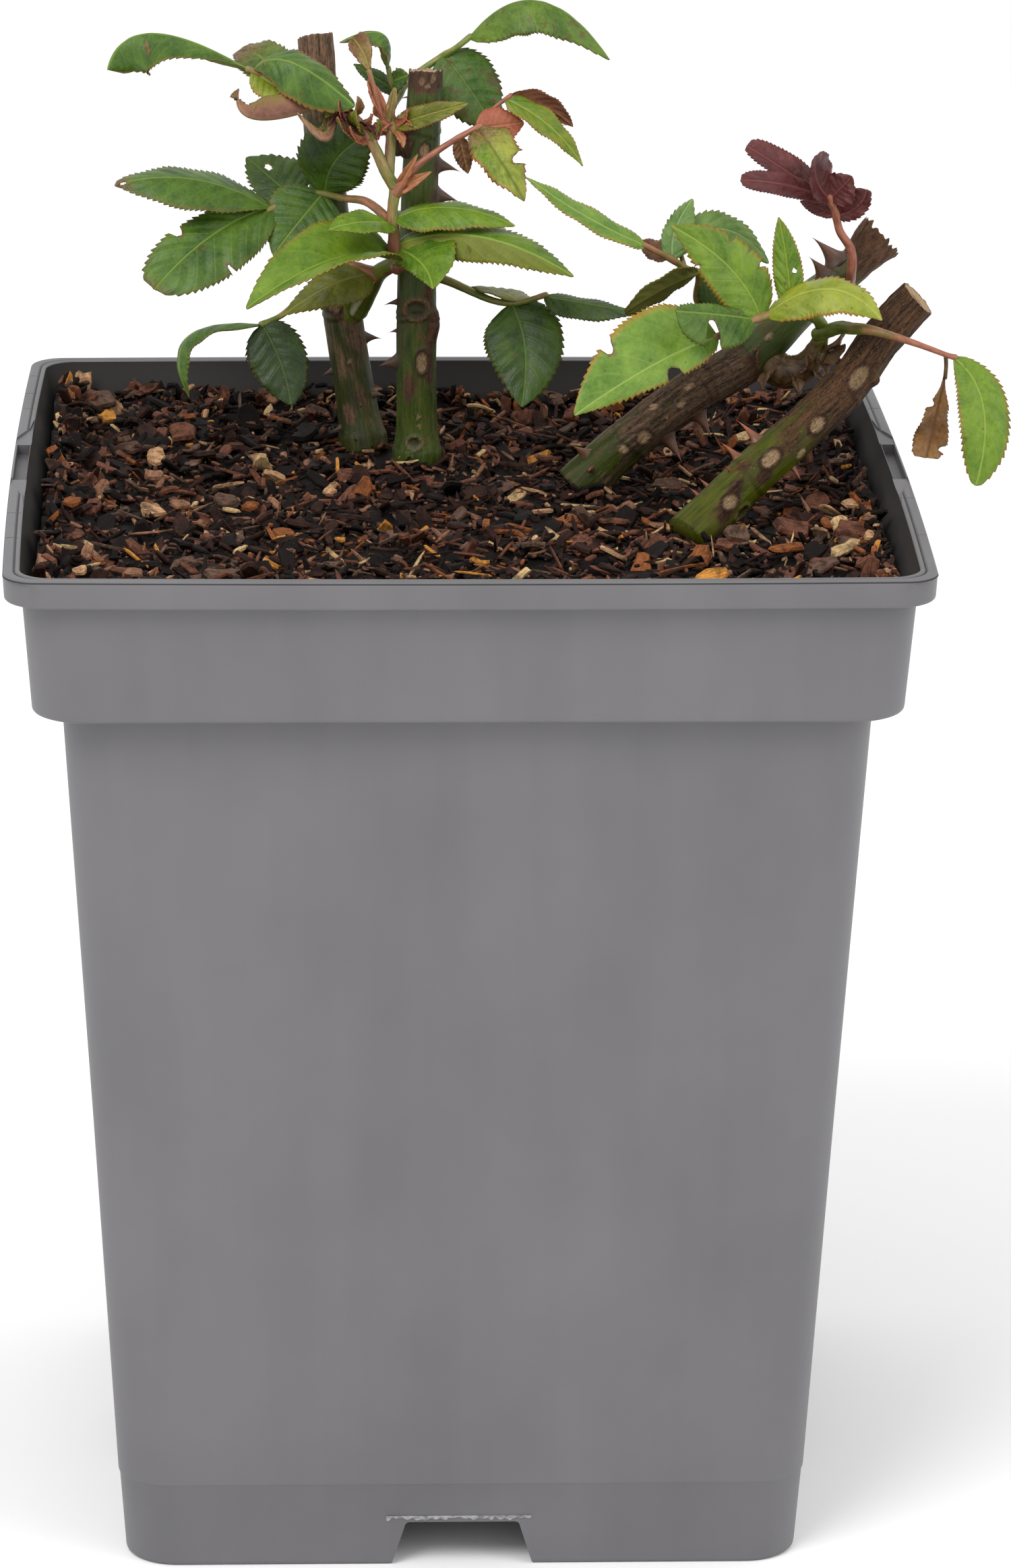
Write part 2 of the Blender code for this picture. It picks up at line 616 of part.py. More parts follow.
def drain_channel(along_x):
    """A prism with sloping sides, right through the pot's foot, to cut its drain channel."""
    reach = BODY_TOP_HALF
    low, high = -2.0, NOTCH_HEIGHT
    half_low = NOTCH_FOOT / 2 + (NOTCH_FOOT - NOTCH_TOP) / 2 * 0.2
    half_high = NOTCH_TOP / 2
    corner = 2.0
    outline = [(-half_low, low), (half_low, low), (half_high, high - corner), (half_high - corner, high),
               (corner - half_high, high), (-half_high, high - corner)]
    points = []
    for end in (-reach, reach):
        for side, z in outline:
            points.append((end, -side, z) if along_x else (side, end, z))
    count = len(outline)
    faces = [tuple(range(count)), tuple(reversed(range(count, 2 * count)))]
    for k in range(count):
        after = (k + 1) % count
        faces.append((after, k, k + count, after + count))
    return make_object("channel", points, faces)


def make_pot():
    rim_foot = POT_HEIGHT - RIM_HEIGHT
    rings = [
        rounded_square(BODY_FOOT_HALF - 0.6, CORNER_BODY, 0.0),
        rounded_square(body_half(1.2), CORNER_BODY, 1.2),
        rounded_square(body_half(NOTCH_HEIGHT + 3), CORNER_BODY, NOTCH_HEIGHT + 3),
        rounded_square(BODY_TOP_HALF, CORNER_BODY, COLLAR_FOOT_Z),
        rounded_square(COLLAR_FOOT_HALF, CORNER_RIM, COLLAR_FOOT_Z),
        rounded_square(COLLAR_TOP_HALF, CORNER_RIM, rim_foot, RIM_BULGE),
        rounded_square(RIM_HALF - 0.7, CORNER_RIM, rim_foot, RIM_BULGE),
        rounded_square(RIM_HALF, CORNER_RIM, rim_foot + 1.0, RIM_BULGE),
        rounded_square(RIM_HALF, CORNER_RIM, POT_HEIGHT - 1.0, RIM_BULGE),
        rounded_square(RIM_HALF - 0.8, CORNER_RIM, POT_HEIGHT, RIM_BULGE),
        rounded_square(RIM_INNER_HALF, CORNER_RIM - 2, POT_HEIGHT, RIM_BULGE),
        rounded_square(inside_half(rim_foot), CORNER_RIM - 2, rim_foot, RIM_BULGE),
        rounded_square(inside_half(COLLAR_FOOT_Z + WALL + 4), CORNER_RIM - 2, COLLAR_FOOT_Z + WALL + 4),
        rounded_square(inside_half(COLLAR_FOOT_Z + WALL), CORNER_RIM - 2, COLLAR_FOOT_Z + WALL),
        rounded_square(inside_half(FLOOR), CORNER_BODY - 2, FLOOR),
    ]
    pot = loft("pot", rings)
    combine(pot, [drain_channel(True), drain_channel(False)], "DIFFERENCE")
    set_look(pot, "pot_grey")


def make_mulch():
    """Bark mulch: a block that fills the pot, with a slightly uneven top, flat at the canes."""
    rng = random.Random(SEED)
    bumps = []
    for _ in range(MULCH_BUMPS):
        bumps.append((rng.uniform(-80, 80), rng.uniform(-80, 80), rng.uniform(9, 20), rng.uniform(-1, 1)))
    feet = [Vector(cane["path"][0]) for cane in CANES.values()]

    def top_at(x, y):
        swell = sum(h * math.exp(-((x - bx) ** 2 + (y - by) ** 2) / (2 * w * w)) for bx, by, w, h in bumps)
        near = min((Vector((x, y)) - foot.xy).length for foot in feet)
        share = min(1.0, max(0.0, (near - 14.0) / 10.0))
        return MULCH_TOP - share * MULCH_SWELL * (0.5 + 0.5 * math.tanh(swell))

    rings = []
    for z in (FLOOR + CLEAR, COLLAR_FOOT_Z + WALL, COLLAR_FOOT_Z + WALL + 4, MULCH_TOP - 4):
        rings.append(rounded_square(inside_half(z) - CLEAR - 0.1, 8.0, z))
    size = len(rings[0])
    points = [p for ring in rings for p in ring]
    faces = [tuple(reversed(range(size)))]
    for i in range(len(rings) - 1):
        for k in range(size):
            a, b = i * size + k, i * size + (k + 1) % size
            faces.append((a, b, b + size, a + size))
    # the top: rings shrinking towards the middle, each point lifted to the mulch's height
    last = rings[-1]
    below = len(points) - size
    for step in range(MULCH_GRID):
        scale = 1.0 - 0.012 - (step / MULCH_GRID) ** 0.9 * 0.98
        for p in last:
            x, y = p.x * scale, p.y * scale
            points.append(Vector((x, y, top_at(x, y))))
        here = len(points) - size
        for k in range(size):
            after = (k + 1) % size
            faces.append((below + k, below + after, here + after, here + k))
        below = here
    points.append(Vector((0, 0, top_at(0, 0))))
    for k in range(size):
        faces.append((below + k, below + (k + 1) % size, len(points) - 1))
    mulch = make_object("mulch", points, faces)
    set_look(mulch, "bark_mulch")


# ================================================================ canes and boughs
def thorn(path, radii, share, direction, length, foot):
    """A curved prickle: broad foot sunk in the bark, point drawn down a little."""
    centre, ahead = at_share(path, share)
    radius = radii[min(len(radii) - 1, round(share * (len(radii) - 1)))]
    out = sideways(ahead, direction)
    drop = Vector((0, 0, -1)) - out * out.dot(Vector((0, 0, -1)))
    line = []
    for i in range(5):
        t = i / 4
        line.append(centre + out * (radius - 0.9 + (length + 0.9) * t) + drop * length * 0.28 * t * t)
    across = ahead.cross(out).normalized()
    sides = 6
    points = []
    for i, p in enumerate(line):
        t = i / 4
        tall = foot / 2 * (1 - t) ** 1.35 + 0.06
        wide = foot / 3.4 * (1 - t) ** 1.2 + 0.06
        for k in range(sides):
            turn = 2 * math.pi * k / sides
            points.append(p + ahead * math.cos(turn) * tall + across * math.sin(turn) * wide)
    faces = []
    for i in range(4):
        for k in range(sides):
            a, b = i * sides + k, i * sides + (k + 1) % sides
            faces.append((a, a + sides, b + sides, b))
    faces.append(tuple(range(sides)))
    faces.append(tuple(reversed(range(4 * sides, 5 * sides))))
    return make_object("thorn", points, faces)


def limb_line(limb):
    path = smooth_path(limb["path"], 4)
    return path, tapered(path, limb["radii"])


def ground_block(level):
    """A block whose top is the mulch's level, to cut a cane's foot flat."""
    reach, depth = 60.0, 30.0
    corners = [(-1, -1), (1, -1), (1, 1), (-1, 1)]
    points = [(x * reach * 2, y * reach * 2, level - depth) for x, y in corners]
    points += [(x * reach * 2, y * reach * 2, level) for x, y in corners]
    faces = [(3, 2, 1, 0), (4, 5, 6, 7)] + [(k, (k + 1) % 4, (k + 1) % 4 + 4, k + 4) for k in range(4)]
    return make_object("ground", points, faces)


def make_cane(name, cane):
    path, radii = limb_line(cane)
    level = path[0].z
    for i, point in enumerate(path):
        radii[i] *= 1.0 + cane["flare"] * math.exp((level - point.z) / FLARE_HEIGHT)
    below = path[0] - (path[1] - path[0]).normalized() * radii[0] * 1.5
    body = tube(name, [below] + path, [radii[0]] + radii, CANE_SIDES, cut=cane["cut"])
    thorns = [thorn(path, radii, *t) for t in cane["thorns"]]
    combine(body, thorns, "UNION")
    combine(body, [ground_block(level)], "DIFFERENCE")
    keep_largest_body(body)
    set_look(body, cane["colour"])


def sheath(path, radii, sides):
    """A tube a little outside a limb's bark and past its ends, to cope what grows on it."""
    extra = CLEAR + SHEATH_SPARE
    first = path[0] - (path[1] - path[0]).normalized() * extra
    last = path[-1] + (path[-1] - path[-2]).normalized() * extra
    longer = [first] + path[1:-1] + [last]
    return tube("sheath", longer, radii, sides, extra=extra)


def limb_sheath(name):
    limb = {**CANES, **BOUGHS}[name]
    path, radii = limb_line(limb)
    return sheath(path, radii, limb.get("sides", CANE_SIDES))


def make_bough(name, bough):
    path, radii = limb_line(bough)
    for i in range(len(radii)):
        share = i / (len(radii) - 1)
        radii[i] *= 1.0 + (bough["end_flare"] - 1.0) * max(0.0, (share - 0.7) / 0.3)
    body = tube(name, path, radii, bough["sides"])
    thorns = [thorn(path, radii, *t) for t in bough["thorns"]]
    if thorns:
        combine(body, thorns, "UNION")
    combine(body, [limb_sheath(bough["grows_on"])], "DIFFERENCE")
    keep_largest_body(body)
    set_look(body, bough["colour"])


# ================================================================ foliage
def leaf(foot, design):
    """A thin closed blade, foot sunk in its stalk, on a midrib that is one quadratic curve."""
    reach = Vector(design["reach"])
    ahead = reach.normalized()
    out = sideways(ahead, design["face"])
    across = ahead.cross(out)
    thick = max(LEAF_THICK_LEAST, LEAF_THICK * reach.length)
    lift = math.tan(math.radians(design["fold"]))
    pull = reach * design["peak"] + out * design["bow"] * 2 + across * design["sway"] * 2
    points = []
    for t, share in zip(LEAF_STATIONS, LEAF_OUTLINE):
        centre = foot + pull * 2 * t * (1 - t) + reach * t * t
        along = (pull * (1 - 2 * t) + reach * t).normalized()
        up = sideways(along, out)
        side_way = along.cross(up)
        half = design["width"] / 2 * share
        top = []
        for side in (-1, 0, 1):
            top.append(centre + side_way * half * side + up * (half * lift * abs(side) + thick / 2))
        points.extend(top)
        points.extend([p - up * thick for p in top])
    faces = []
    for i in range(len(LEAF_STATIONS) - 1):
        a, b = i * 6, i * 6 + 6
        for k in (0, 1):
            faces.append((a + k, a + k + 1, b + k + 1, b + k))
            faces.append((a + 3 + k + 1, a + 3 + k, b + 3 + k, b + 3 + k + 1))
        faces.append((a + 3, a, b, b + 3))
        faces.append((a + 2, a + 5, b + 5, b + 2))
    end = (len(LEAF_STATIONS) - 1) * 6
    faces.append((0, 3, 4, 1))
    faces.append((1, 4, 5, 2))
    faces.append((end + 3, end, end + 1, end + 4))
    faces.append((end + 4, end + 1, end + 2, end + 5))
    return make_object("leaf", points, faces)


def spray_lines(mass):
    """Every spray's smooth path and radii; later sprays start on earlier ones."""
    lines = []
    for spray in mass["sprays"]:
        if "on" in spray:
            parent, share = spray["on"]
            start, _ = at_share(lines[parent][0], share)
            knots = [start] + [start + Vector(step) for step in spray["path"]]
        else:
            knots = spray["path"]
        path = smooth_path(knots, 3)
        lines.append((path, tapered(path, spray["radii"])))
    return lines


def make_mass(name, mass):
    """A stem with its side twigs and leaflets, fused into one solid."""
    pieces = []
    lines = spray_lines(mass)
    for i, (spray, (path, radii)) in enumerate(zip(mass["sprays"], lines)):
        stout = spray["radii"][0] > 1.2
        pieces.append(tube(name, path, radii, SHOOT_SIDES if stout else TWIG_SIDES))
        for design in spray["leaves"]:
            foot, _ = at_share(path, design["at"])
            pieces.append(leaf(foot, design))
    stem = pieces[0]
    combine(stem, pieces[1:], "UNION")
    sheaths = []
    for holder, spray in mass["grows_on"]:
        if holder in MASSES:
            path, radii = spray_lines(MASSES[holder])[spray]
            sheaths.append(sheath(path, radii, SHOOT_SIDES))
        else:
            sheaths.append(limb_sheath(holder))
    if sheaths:
        combine(stem, sheaths, "DIFFERENCE")
    keep_largest_body(stem)
    stem.name = name
    set_look(stem, mass["colour"], smooth=False)


def main():
    clear_scene()
    make_pot()
    make_mulch()
    for name, cane in CANES.items():
        make_cane(name, cane)
    for name, bough in BOUGHS.items():
        make_bough(name, bough)
    for name, mass in MASSES.items():
        make_mass(name, mass)


main()
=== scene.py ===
import math
import random

import bpy
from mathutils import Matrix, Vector, noise


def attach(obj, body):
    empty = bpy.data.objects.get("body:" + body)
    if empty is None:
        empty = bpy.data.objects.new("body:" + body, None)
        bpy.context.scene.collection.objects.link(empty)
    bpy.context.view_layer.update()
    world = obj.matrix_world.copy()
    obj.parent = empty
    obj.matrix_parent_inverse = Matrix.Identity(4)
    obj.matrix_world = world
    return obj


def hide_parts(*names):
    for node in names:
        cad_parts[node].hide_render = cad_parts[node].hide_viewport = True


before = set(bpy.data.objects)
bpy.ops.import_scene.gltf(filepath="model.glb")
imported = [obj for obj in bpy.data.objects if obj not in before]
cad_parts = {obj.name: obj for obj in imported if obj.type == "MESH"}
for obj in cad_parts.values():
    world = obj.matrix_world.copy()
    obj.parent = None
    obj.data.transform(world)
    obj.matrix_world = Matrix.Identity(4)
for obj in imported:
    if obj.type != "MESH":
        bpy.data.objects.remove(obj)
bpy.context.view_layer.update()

mm = 0.001
boxShift = -11.6    # from the pot's middle to the middle of the plant's box, in mm


def place(point):
    # a point in pot-centred millimetres, in the frame's metres
    return Vector(((point[0] + boxShift) * mm, point[1] * mm, point[2] * mm))


def makePiece(name, points, faces, materials=(), slots=None, smooth=True):
    mesh = bpy.data.meshes.new(name)
    mesh.from_pydata([place(p) for p in points], [], faces)
    for material in materials:
        mesh.materials.append(material)
    if slots:
        mesh.polygons.foreach_set("material_index", slots)
    if smooth:
        mesh.shade_smooth()
    mesh.update()
    piece = bpy.data.objects.new(name, mesh)
    bpy.context.scene.collection.objects.link(piece)
    return piece


def keepPlaces(piece, name, values):
    # a vector for every point of the mesh, which its material reads as its own coordinates
    layer = piece.data.attributes.new(name, "FLOAT_VECTOR", "POINT")
    layer.data.foreach_set("vector", [x for value in values for x in value])


def applyModifiers(piece):
    graph = bpy.context.evaluated_depsgraph_get()
    made = bpy.data.meshes.new_from_object(piece.evaluated_get(graph))
    piece.modifiers.clear()
    piece.data = made


def hand(piece, slot, *nodes):
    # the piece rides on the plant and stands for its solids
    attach(piece, "root")
    if nodes:
        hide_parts(*nodes)


class Mesh:
    # a growing pile of points and faces, each face with its material's number

    def __init__(self, *layers):
        self.points = []
        self.faces = []
        self.slots = []
        self.layers = {name: [] for name in layers or ("ownPlace",)}

    def add(self, points, faces, slot=0, **values):
        first = len(self.points)
        self.points.extend(points)
        for name, layer in self.layers.items():
            layer.extend(values[name])
        for face in faces:
            self.faces.append([first + v for v in face])
            self.slots.append(slot)

    def piece(self, name, materials, smooth=True):
        made = makePiece(name, self.points, self.faces, materials, self.slots, smooth)
        for layer, values in self.layers.items():
            keepPlaces(made, layer, values)
        return made


def bandFaces(rows, size):
    # the faces between rings of points: this many rings, of this many points each
    faces = []
    for i in range(rows - 1):
        for k in range(size):
            a, b = i * size + k, i * size + (k + 1) % size
            faces.append((a, b, b + size, a + size))
    return faces


def tubeFaces(rows, size):
    # the same, with a face over each end
    last = (rows - 1) * size
    return bandFaces(rows, size) + [tuple(reversed(range(size))), tuple(range(last, last + size))]


# ---- curves

def smoothPath(points, perSpan):
    # points along a smooth curve through the given ones
    knots = [Vector(p) for p in points]
    if len(knots) == 2:
        return [knots[0].lerp(knots[1], i / perSpan) for i in range(perSpan + 1)]
    padded = [knots[0] * 2 - knots[1]] + knots + [knots[-1] * 2 - knots[-2]]
    out = []
    for i in range(1, len(padded) - 2):
        p0, p1, p2, p3 = padded[i - 1:i + 3]
        for j in range(perSpan):
            t = j / perSpan
            a = p1 * 2 + (p2 - p0) * t
            b = (p0 * 2 - p1 * 5 + p2 * 4 - p3) * t * t
            c = (p1 * 3 - p0 - p2 * 3 + p3) * t * t * t
            out.append((a + b + c) * 0.5)
    out.append(knots[-1])
    return out


def lengthsAlong(path):
    out = [0.0]
    for a, b in zip(path, path[1:]):
        out.append(out[-1] + (b - a).length)
    return out


def atShare(path, share):
    # point and direction at a share of a path's length
    lengths = lengthsAlong(path)
    target = share * lengths[-1]
    last = len(path) - 2
    for i in range(last + 1):
        if lengths[i + 1] >= target or i == last:
            step = path[i + 1] - path[i]
            return path[i] + step * ((target - lengths[i]) / max(step.length, 1e-9)), step.normalized()


def evenPath(path, spacing):
    # the same curve with points at one even spacing
    total = lengthsAlong(path)[-1]
    count = max(2, round(total / spacing))
    return [atShare(path, i / count)[0] for i in range(count + 1)]


def blend(values, share):
    # one value out of a few given evenly along a limb
    spot = min(max(share, 0.0), 1.0) * (len(values) - 1)
    low = min(int(spot), len(values) - 2)
    return values[low] + (values[low + 1] - values[low]) * (spot - low)


def sideways(direction, wish):
    # the part of a wished direction that is square to the given one
    square = Vector(wish) - direction * Vector(wish).dot(direction)
    return square.normalized()


def framesAlong(line, ahead):
    # every point of a line with its direction and two ways square to that, carried on without a twist
    across = sideways(ahead, (1.0, 0.13, 0.07))
    for i, centre in enumerate(line):
        ahead = (line[min(i + 1, len(line) - 1)] - line[max(i - 1, 0)]).normalized()
        across = sideways(ahead, across)
        yield centre, ahead, across, ahead.cross(across)


def fullTurn(count):
    return [2 * math.pi * k / count for k in range(count)]


def smoothStep(low, high, x):
    t = min(max((x - low) / (high - low), 0.0), 1.0)
    return t * t * (3 - 2 * t)


# ---- studio: camera, floor and light

studio = {
    "cameraPlace": (-41.9, -1358.6, 582.1),     # mm, from the pot's middle
    "cameraTurn": (72.493, -0.494, -2.060),     # degrees
    "lens": 149.55,
    "floorSize": 30.0,           # metres
    "floorTones": (0.93, 0.95),
    "sky": 0.95,
    "lamps": {                   # place and width in metres, power in watts
        "keyLight": ((-0.9, -1.3, 1.9), 1.2, 26.0),
        "fillLight": ((1.4, -0.9, 1.2), 1.4, 9.0),
    },
    "lampAim": (0, 0, 0.15),
    "paintShare": 0.60,          # paint is this much darker than it looks, because the light is bright
}


# ---- materials

def newMaterial(name, **sockets):
    mat = bpy.data.materials.new(name)
    mat.use_nodes = True
    shader = mat.node_tree.nodes["Principled BSDF"]
    for key, value in sockets.items():      # a socket's name, with _ for its spaces
        shader.inputs[key.replace("_", " ")].default_value = value
    return mat


def addNode(mat, kind, inputs, **settings):
    made = mat.node_tree.nodes.new("ShaderNode" + kind)
    for key, value in settings.items():
        setattr(made, key, value)
    for key, value in inputs.items():
        if isinstance(value, bpy.types.NodeSocket):
            mat.node_tree.links.new(value, made.inputs[key])
        else:
            made.inputs[key].default_value = value
    return made


def objectPlace(mat):
    return addNode(mat, "TexCoord", {}).outputs["Object"]


def ownPlace(mat, name="ownPlace"):
    return addNode(mat, "Attribute", {}, attribute_name=name).outputs["Vector"]


def splitUp(mat, vector):
    made = addNode(mat, "SeparateXYZ", {"Vector": vector})
    return made.outputs["X"], made.outputs["Y"], made.outputs["Z"]


def stretched(mat, vector, x=1.0, y=1.0, z=1.0):
    return addNode(mat, "Mapping", {"Vector": vector, "Scale": (x, y, z)}).outputs["Vector"]


def noisy(mat, vector, scale, detail=3.0, roughness=0.5, distortion=0.0):
    made = addNode(mat, "TexNoise", {"Vector": vector, "Scale": scale, "Detail": detail,
                                     "Roughness": roughness, "Distortion": distortion})
    return made.outputs["Fac"]


def cells(mat, vector, scale, feature="F1"):
    return addNode(mat, "TexVoronoi", {"Vector": vector, "Scale": scale}, feature=feature).outputs["Distance"]


def calc(mat, operation, a, b=0.0):
    made = addNode(mat, "Math", {0: a, 1: b, 2: 0.0}, operation=operation)
    return made.outputs["Value"]


def plus(mat, a, b):
    return calc(mat, "ADD", a, b)


def less(mat, a, b):
    return calc(mat, "SUBTRACT", a, b)


def times(mat, a, b):
    return calc(mat, "MULTIPLY", a, b)


def larger(mat, a, b):
    return calc(mat, "MAXIMUM", a, b)


def ranged(mat, value, low, high, toLow=0.0, toHigh=1.0):
    made = addNode(mat, "MapRange", {"Value": value, "From Min": low, "From Max": high,
                                     "To Min": toLow, "To Max": toHigh})
    return made.outputs["Result"]


def mixed(mat, share, a, b, blendType="MIX"):
    made = addNode(mat, "Mix", {0: share, 6: a, 7: b}, data_type="RGBA", blend_type=blendType)
    return made.outputs[2]


def ramped(mat, value, stops):
    made = addNode(mat, "ValToRGB", {"Fac": value})
    points = made.color_ramp.elements
    while len(points) < len(stops):
        points.new(0.5)
    for point, (spot, colour) in zip(points, stops):
        point.position = spot
        point.color = colour
    return made.outputs["Color"]


def finish(mat, colour=None, roughness=None, height=None, depth=0.1, strength=1.0):
    # wires colours, roughness and relief (depth in mm) to the material's shader
    shader = mat.node_tree.nodes["Principled BSDF"]
    links = mat.node_tree.links
    if colour:
        links.new(colour, shader.inputs["Base Color"])
    if roughness:
        links.new(roughness, shader.inputs["Roughness"])
    if height:
        bump = addNode(mat, "Bump", {"Height": height, "Distance": depth * mm, "Strength": strength})
        links.new(bump.outputs["Normal"], shader.inputs["Normal"])
    return mat


def rgb(red, green, blue):
    # a colour as the finished surface looks on a screen, 0 to 255, under this studio's light
    out = []
    for part in (red, green, blue):
        part /= 255
        part = part / 12.92 if part < 0.04045 else ((part + 0.055) / 1.055) ** 2.4
        out.append(part * studio["paintShare"])
    return (*out, 1.0)


def toned(colour, share):
    # a colour made darker or lighter
    return [min(1.0, part * share) for part in colour[:3]] + [1.0]


def setUpStudio():
    scene = bpy.context.scene
    scene.view_settings.view_transform = "Standard"
    camera = bpy.data.objects.new("camera", bpy.data.cameras.new("camera"))
    camera.data.lens = studio["lens"]
    camera.location = place(studio["cameraPlace"])
    camera.rotation_euler = [math.radians(turn) for turn in studio["cameraTurn"]]
    scene.collection.objects.link(camera)
    scene.camera = camera

    half = studio["floorSize"] / 2
    corners = [(-half, -half, 0), (half, -half, 0), (half, half, 0), (-half, half, 0)]
    mesh = bpy.data.meshes.new("floor")
    mesh.from_pydata(corners, [], [(0, 1, 2, 3)])
    floor = bpy.data.objects.new("floor", mesh)
    scene.collection.objects.link(floor)
    paint = newMaterial("studioFloor", Roughness=0.9)
    tone = noisy(paint, objectPlace(paint), 3.0)
    dark, light = [(part, part, part, 1) for part in studio["floorTones"]]
    finish(paint, ramped(paint, tone, [(0.3, dark), (0.7, light)]))
    mesh.materials.append(paint)

    world = bpy.data.worlds.new("studio")
    world.use_nodes = True
    world.node_tree.nodes["Background"].inputs["Color"].default_value = (1.0, 1.0, 1.0, 1)
    world.node_tree.nodes["Background"].inputs["Strength"].default_value = studio["sky"]
    scene.world = world
    for name, (spot, size, power) in studio["lamps"].items():
        softBox(name, spot, size, power)


def softBox(name, spot, size, power):
    lamp = bpy.data.lights.new(name, "AREA")
    lamp.shape = "DISK"
    lamp.size = size
    lamp.energy = power
    box = bpy.data.objects.new(name, lamp)
    box.location = spot
    box.rotation_euler = (Vector(studio["lampAim"]) - Vector(spot)).to_track_quat("-Z", "Y").to_euler()
    bpy.context.scene.collection.objects.link(box)


setUpStudio()
print("stage: studio ready")


# ---- the pot

pot = {
    "height": 226.0,
    "rimHalf": 95.0,
    "rimHeight": 6.0,
    "rimInnerHalf": 91.5,
    "rimBulge": 1.1,             # how far each side of the rim bows out at its middle
    "collarTopHalf": 91.3,
    "collarFootHalf": 89.6,
    "collarFootZ": 194.3,
    "bodyTopHalf": 83.7,
    "bodyFootHalf": 72.5,
    "wall": 2.0,
    "floor": 12.5,
    "rimCorner": 9.0,
    "bodyCorner": 11.0,
    "notchHeight": 10.2,
    "notchTop": 24.8,
    "notchCorner": 1.1,
    "notchFoot": 30.5,
    "cornerSteps": 14,
    "sideSteps": 48,
    "footBandZ": 19.0,           # where the wall steps in a little
    "footBandStep": 0.25,
    "beadWidth": 1.0,            # of the raised line along the rim's inner edge
    "groove": 0.35,              # beside it
    "pocketDepth": 2.6,          # the clip pockets in the middle of the left and right rim
    "pocketIn": 92.7,
    "pocketOut": 95.5,
    "pocketEnds": (-12.5, 17.0),
    "rampDepth": 0.55,
    "rampReach": (21.0, 13.0, 4.5),     # how far a ramp runs on along the rim: inner, middle and outer edge
    "joints": ((-1, (77, 61, 47, -41.5, -61)), (1, (47, -30, -59.5))),      # hairlines: side, places
    "jointWidth": 0.3,
    "jointDepth": 0.25,
    "cutPast": 1.0,              # how far a cutter stands out of the rim
    "scuffs": ((67.5, 225.5, 4.0), (-86.0, 225.5, 2.6), (20.0, 221.5, 3.0), (94.0, 222.5, 1.6)),
    "wornTop": (1.6, 0.4),       # the rim's edge is worn from this far below its top up to this far
    "wornSide": (2.2, 0.4),      # and from this far in
    "wornFoot": (3.0, 0.5),
    "sharpTurn": 50,             # degrees: edges that turn more look sharp
    "flashSteps": 60,
    "flashTop": 1.5,             # torn edge of plastic over the front drain notch
    "flashDrop": 0.9,
    "flashHalf": 15.6,
    "flashMiddle": -0.8,
    "colour": rgb(126, 124, 127),
    # a darker copy of the pot's own colour for the inside: painted shade on the inner wall and the lip's
    # inner face
    "shadedWallColour": rgb(72, 70, 69),
    "edgeColour": rgb(190, 190, 190),
    "tornColours": (rgb(132, 132, 133), rgb(196, 196, 195)),
    "roughness": 0.47,
}


def potPlastic(name, colour, sheen):
    mat = newMaterial(name, Roughness=pot["roughness"], Specular_IOR_Level=sheen)
    spot = objectPlace(mat)
    cloud = noisy(mat, spot, 22.0, 3.0, 0.55)
    drips = noisy(mat, stretched(mat, spot, 60.0, 60.0, 5.0), 1.0, 3.0, 0.5)
    tone = plus(mat, times(mat, cloud, 0.6), times(mat, drips, 0.4))
    base = ramped(mat, tone, [(0.35, toned(colour, 0.88)), (0.65, toned(colour, 1.10))])
    worn, scuffed, _ = splitUp(mat, ownPlace(mat, "wear"))
    scuffs = noisy(mat, stretched(mat, spot, 1.0, 1.0, 2.5), 190.0, 6.0, 0.65)
    marks = noisy(mat, stretched(mat, spot, 1.0, 1.0, 3.0), 420.0, 5.0, 0.7)
    share = larger(mat, times(mat, ranged(mat, scuffs, 0.5, 0.62), worn),
                   times(mat, ranged(mat, marks, 0.46, 0.56), scuffed))
    done = mixed(mat, share, base, pot["edgeColour"])
    specks = noisy(mat, spot, 900.0, 2.0, 0.6)
    rough = ranged(mat, cloud, 0.3, 0.7, pot["roughness"] - 0.05, pot["roughness"] + 0.08)
    return finish(mat, done, rough, plus(mat, specks, times(mat, drips, 0.8)), 0.05, 0.5)


def bodyHalf(z):
    return pot["bodyFootHalf"] + (pot["bodyTopHalf"] - pot["bodyFootHalf"]) * z / pot["collarFootZ"]


def collarHalf(z):
    share = (z - pot["collarFootZ"]) / (pot["height"] - pot["rimHeight"] - pot["collarFootZ"])
    return pot["collarFootHalf"] + (pot["collarTopHalf"] - pot["collarFootHalf"]) * share


def insideHalf(z):
    stepZ = pot["collarFootZ"] + pot["wall"]
    if z <= stepZ:
        return bodyHalf(min(z, pot["collarFootZ"])) - pot["wall"]
    share = min(1.0, (z - stepZ) / 4.0)
    low = bodyHalf(pot["collarFootZ"]) - pot["wall"]
    return low + share * (collarHalf(z) - pot["wall"] - low)


def roundedProfile(points, steps=4):
    # a profile of (half, z, fillet radius) with each of its corners rounded
    out = []
    for i, (half, z, radius) in enumerate(points):
        spot = Vector((half, z))
        if not radius or i in (0, len(points) - 1):
            out.append(spot)
            continue
        back = Vector(points[i - 1][:2]) - spot
        ahead = Vector(points[i + 1][:2]) - spot
        reach = min(radius, back.length * 0.45, ahead.length * 0.45)
        a, b = spot + back.normalized() * reach, spot + ahead.normalized() * reach
        for k in range(steps + 1):
            t = k / steps
            out.append(a * (1 - t) ** 2 + spot * 2 * t * (1 - t) + b * t * t)
    return out


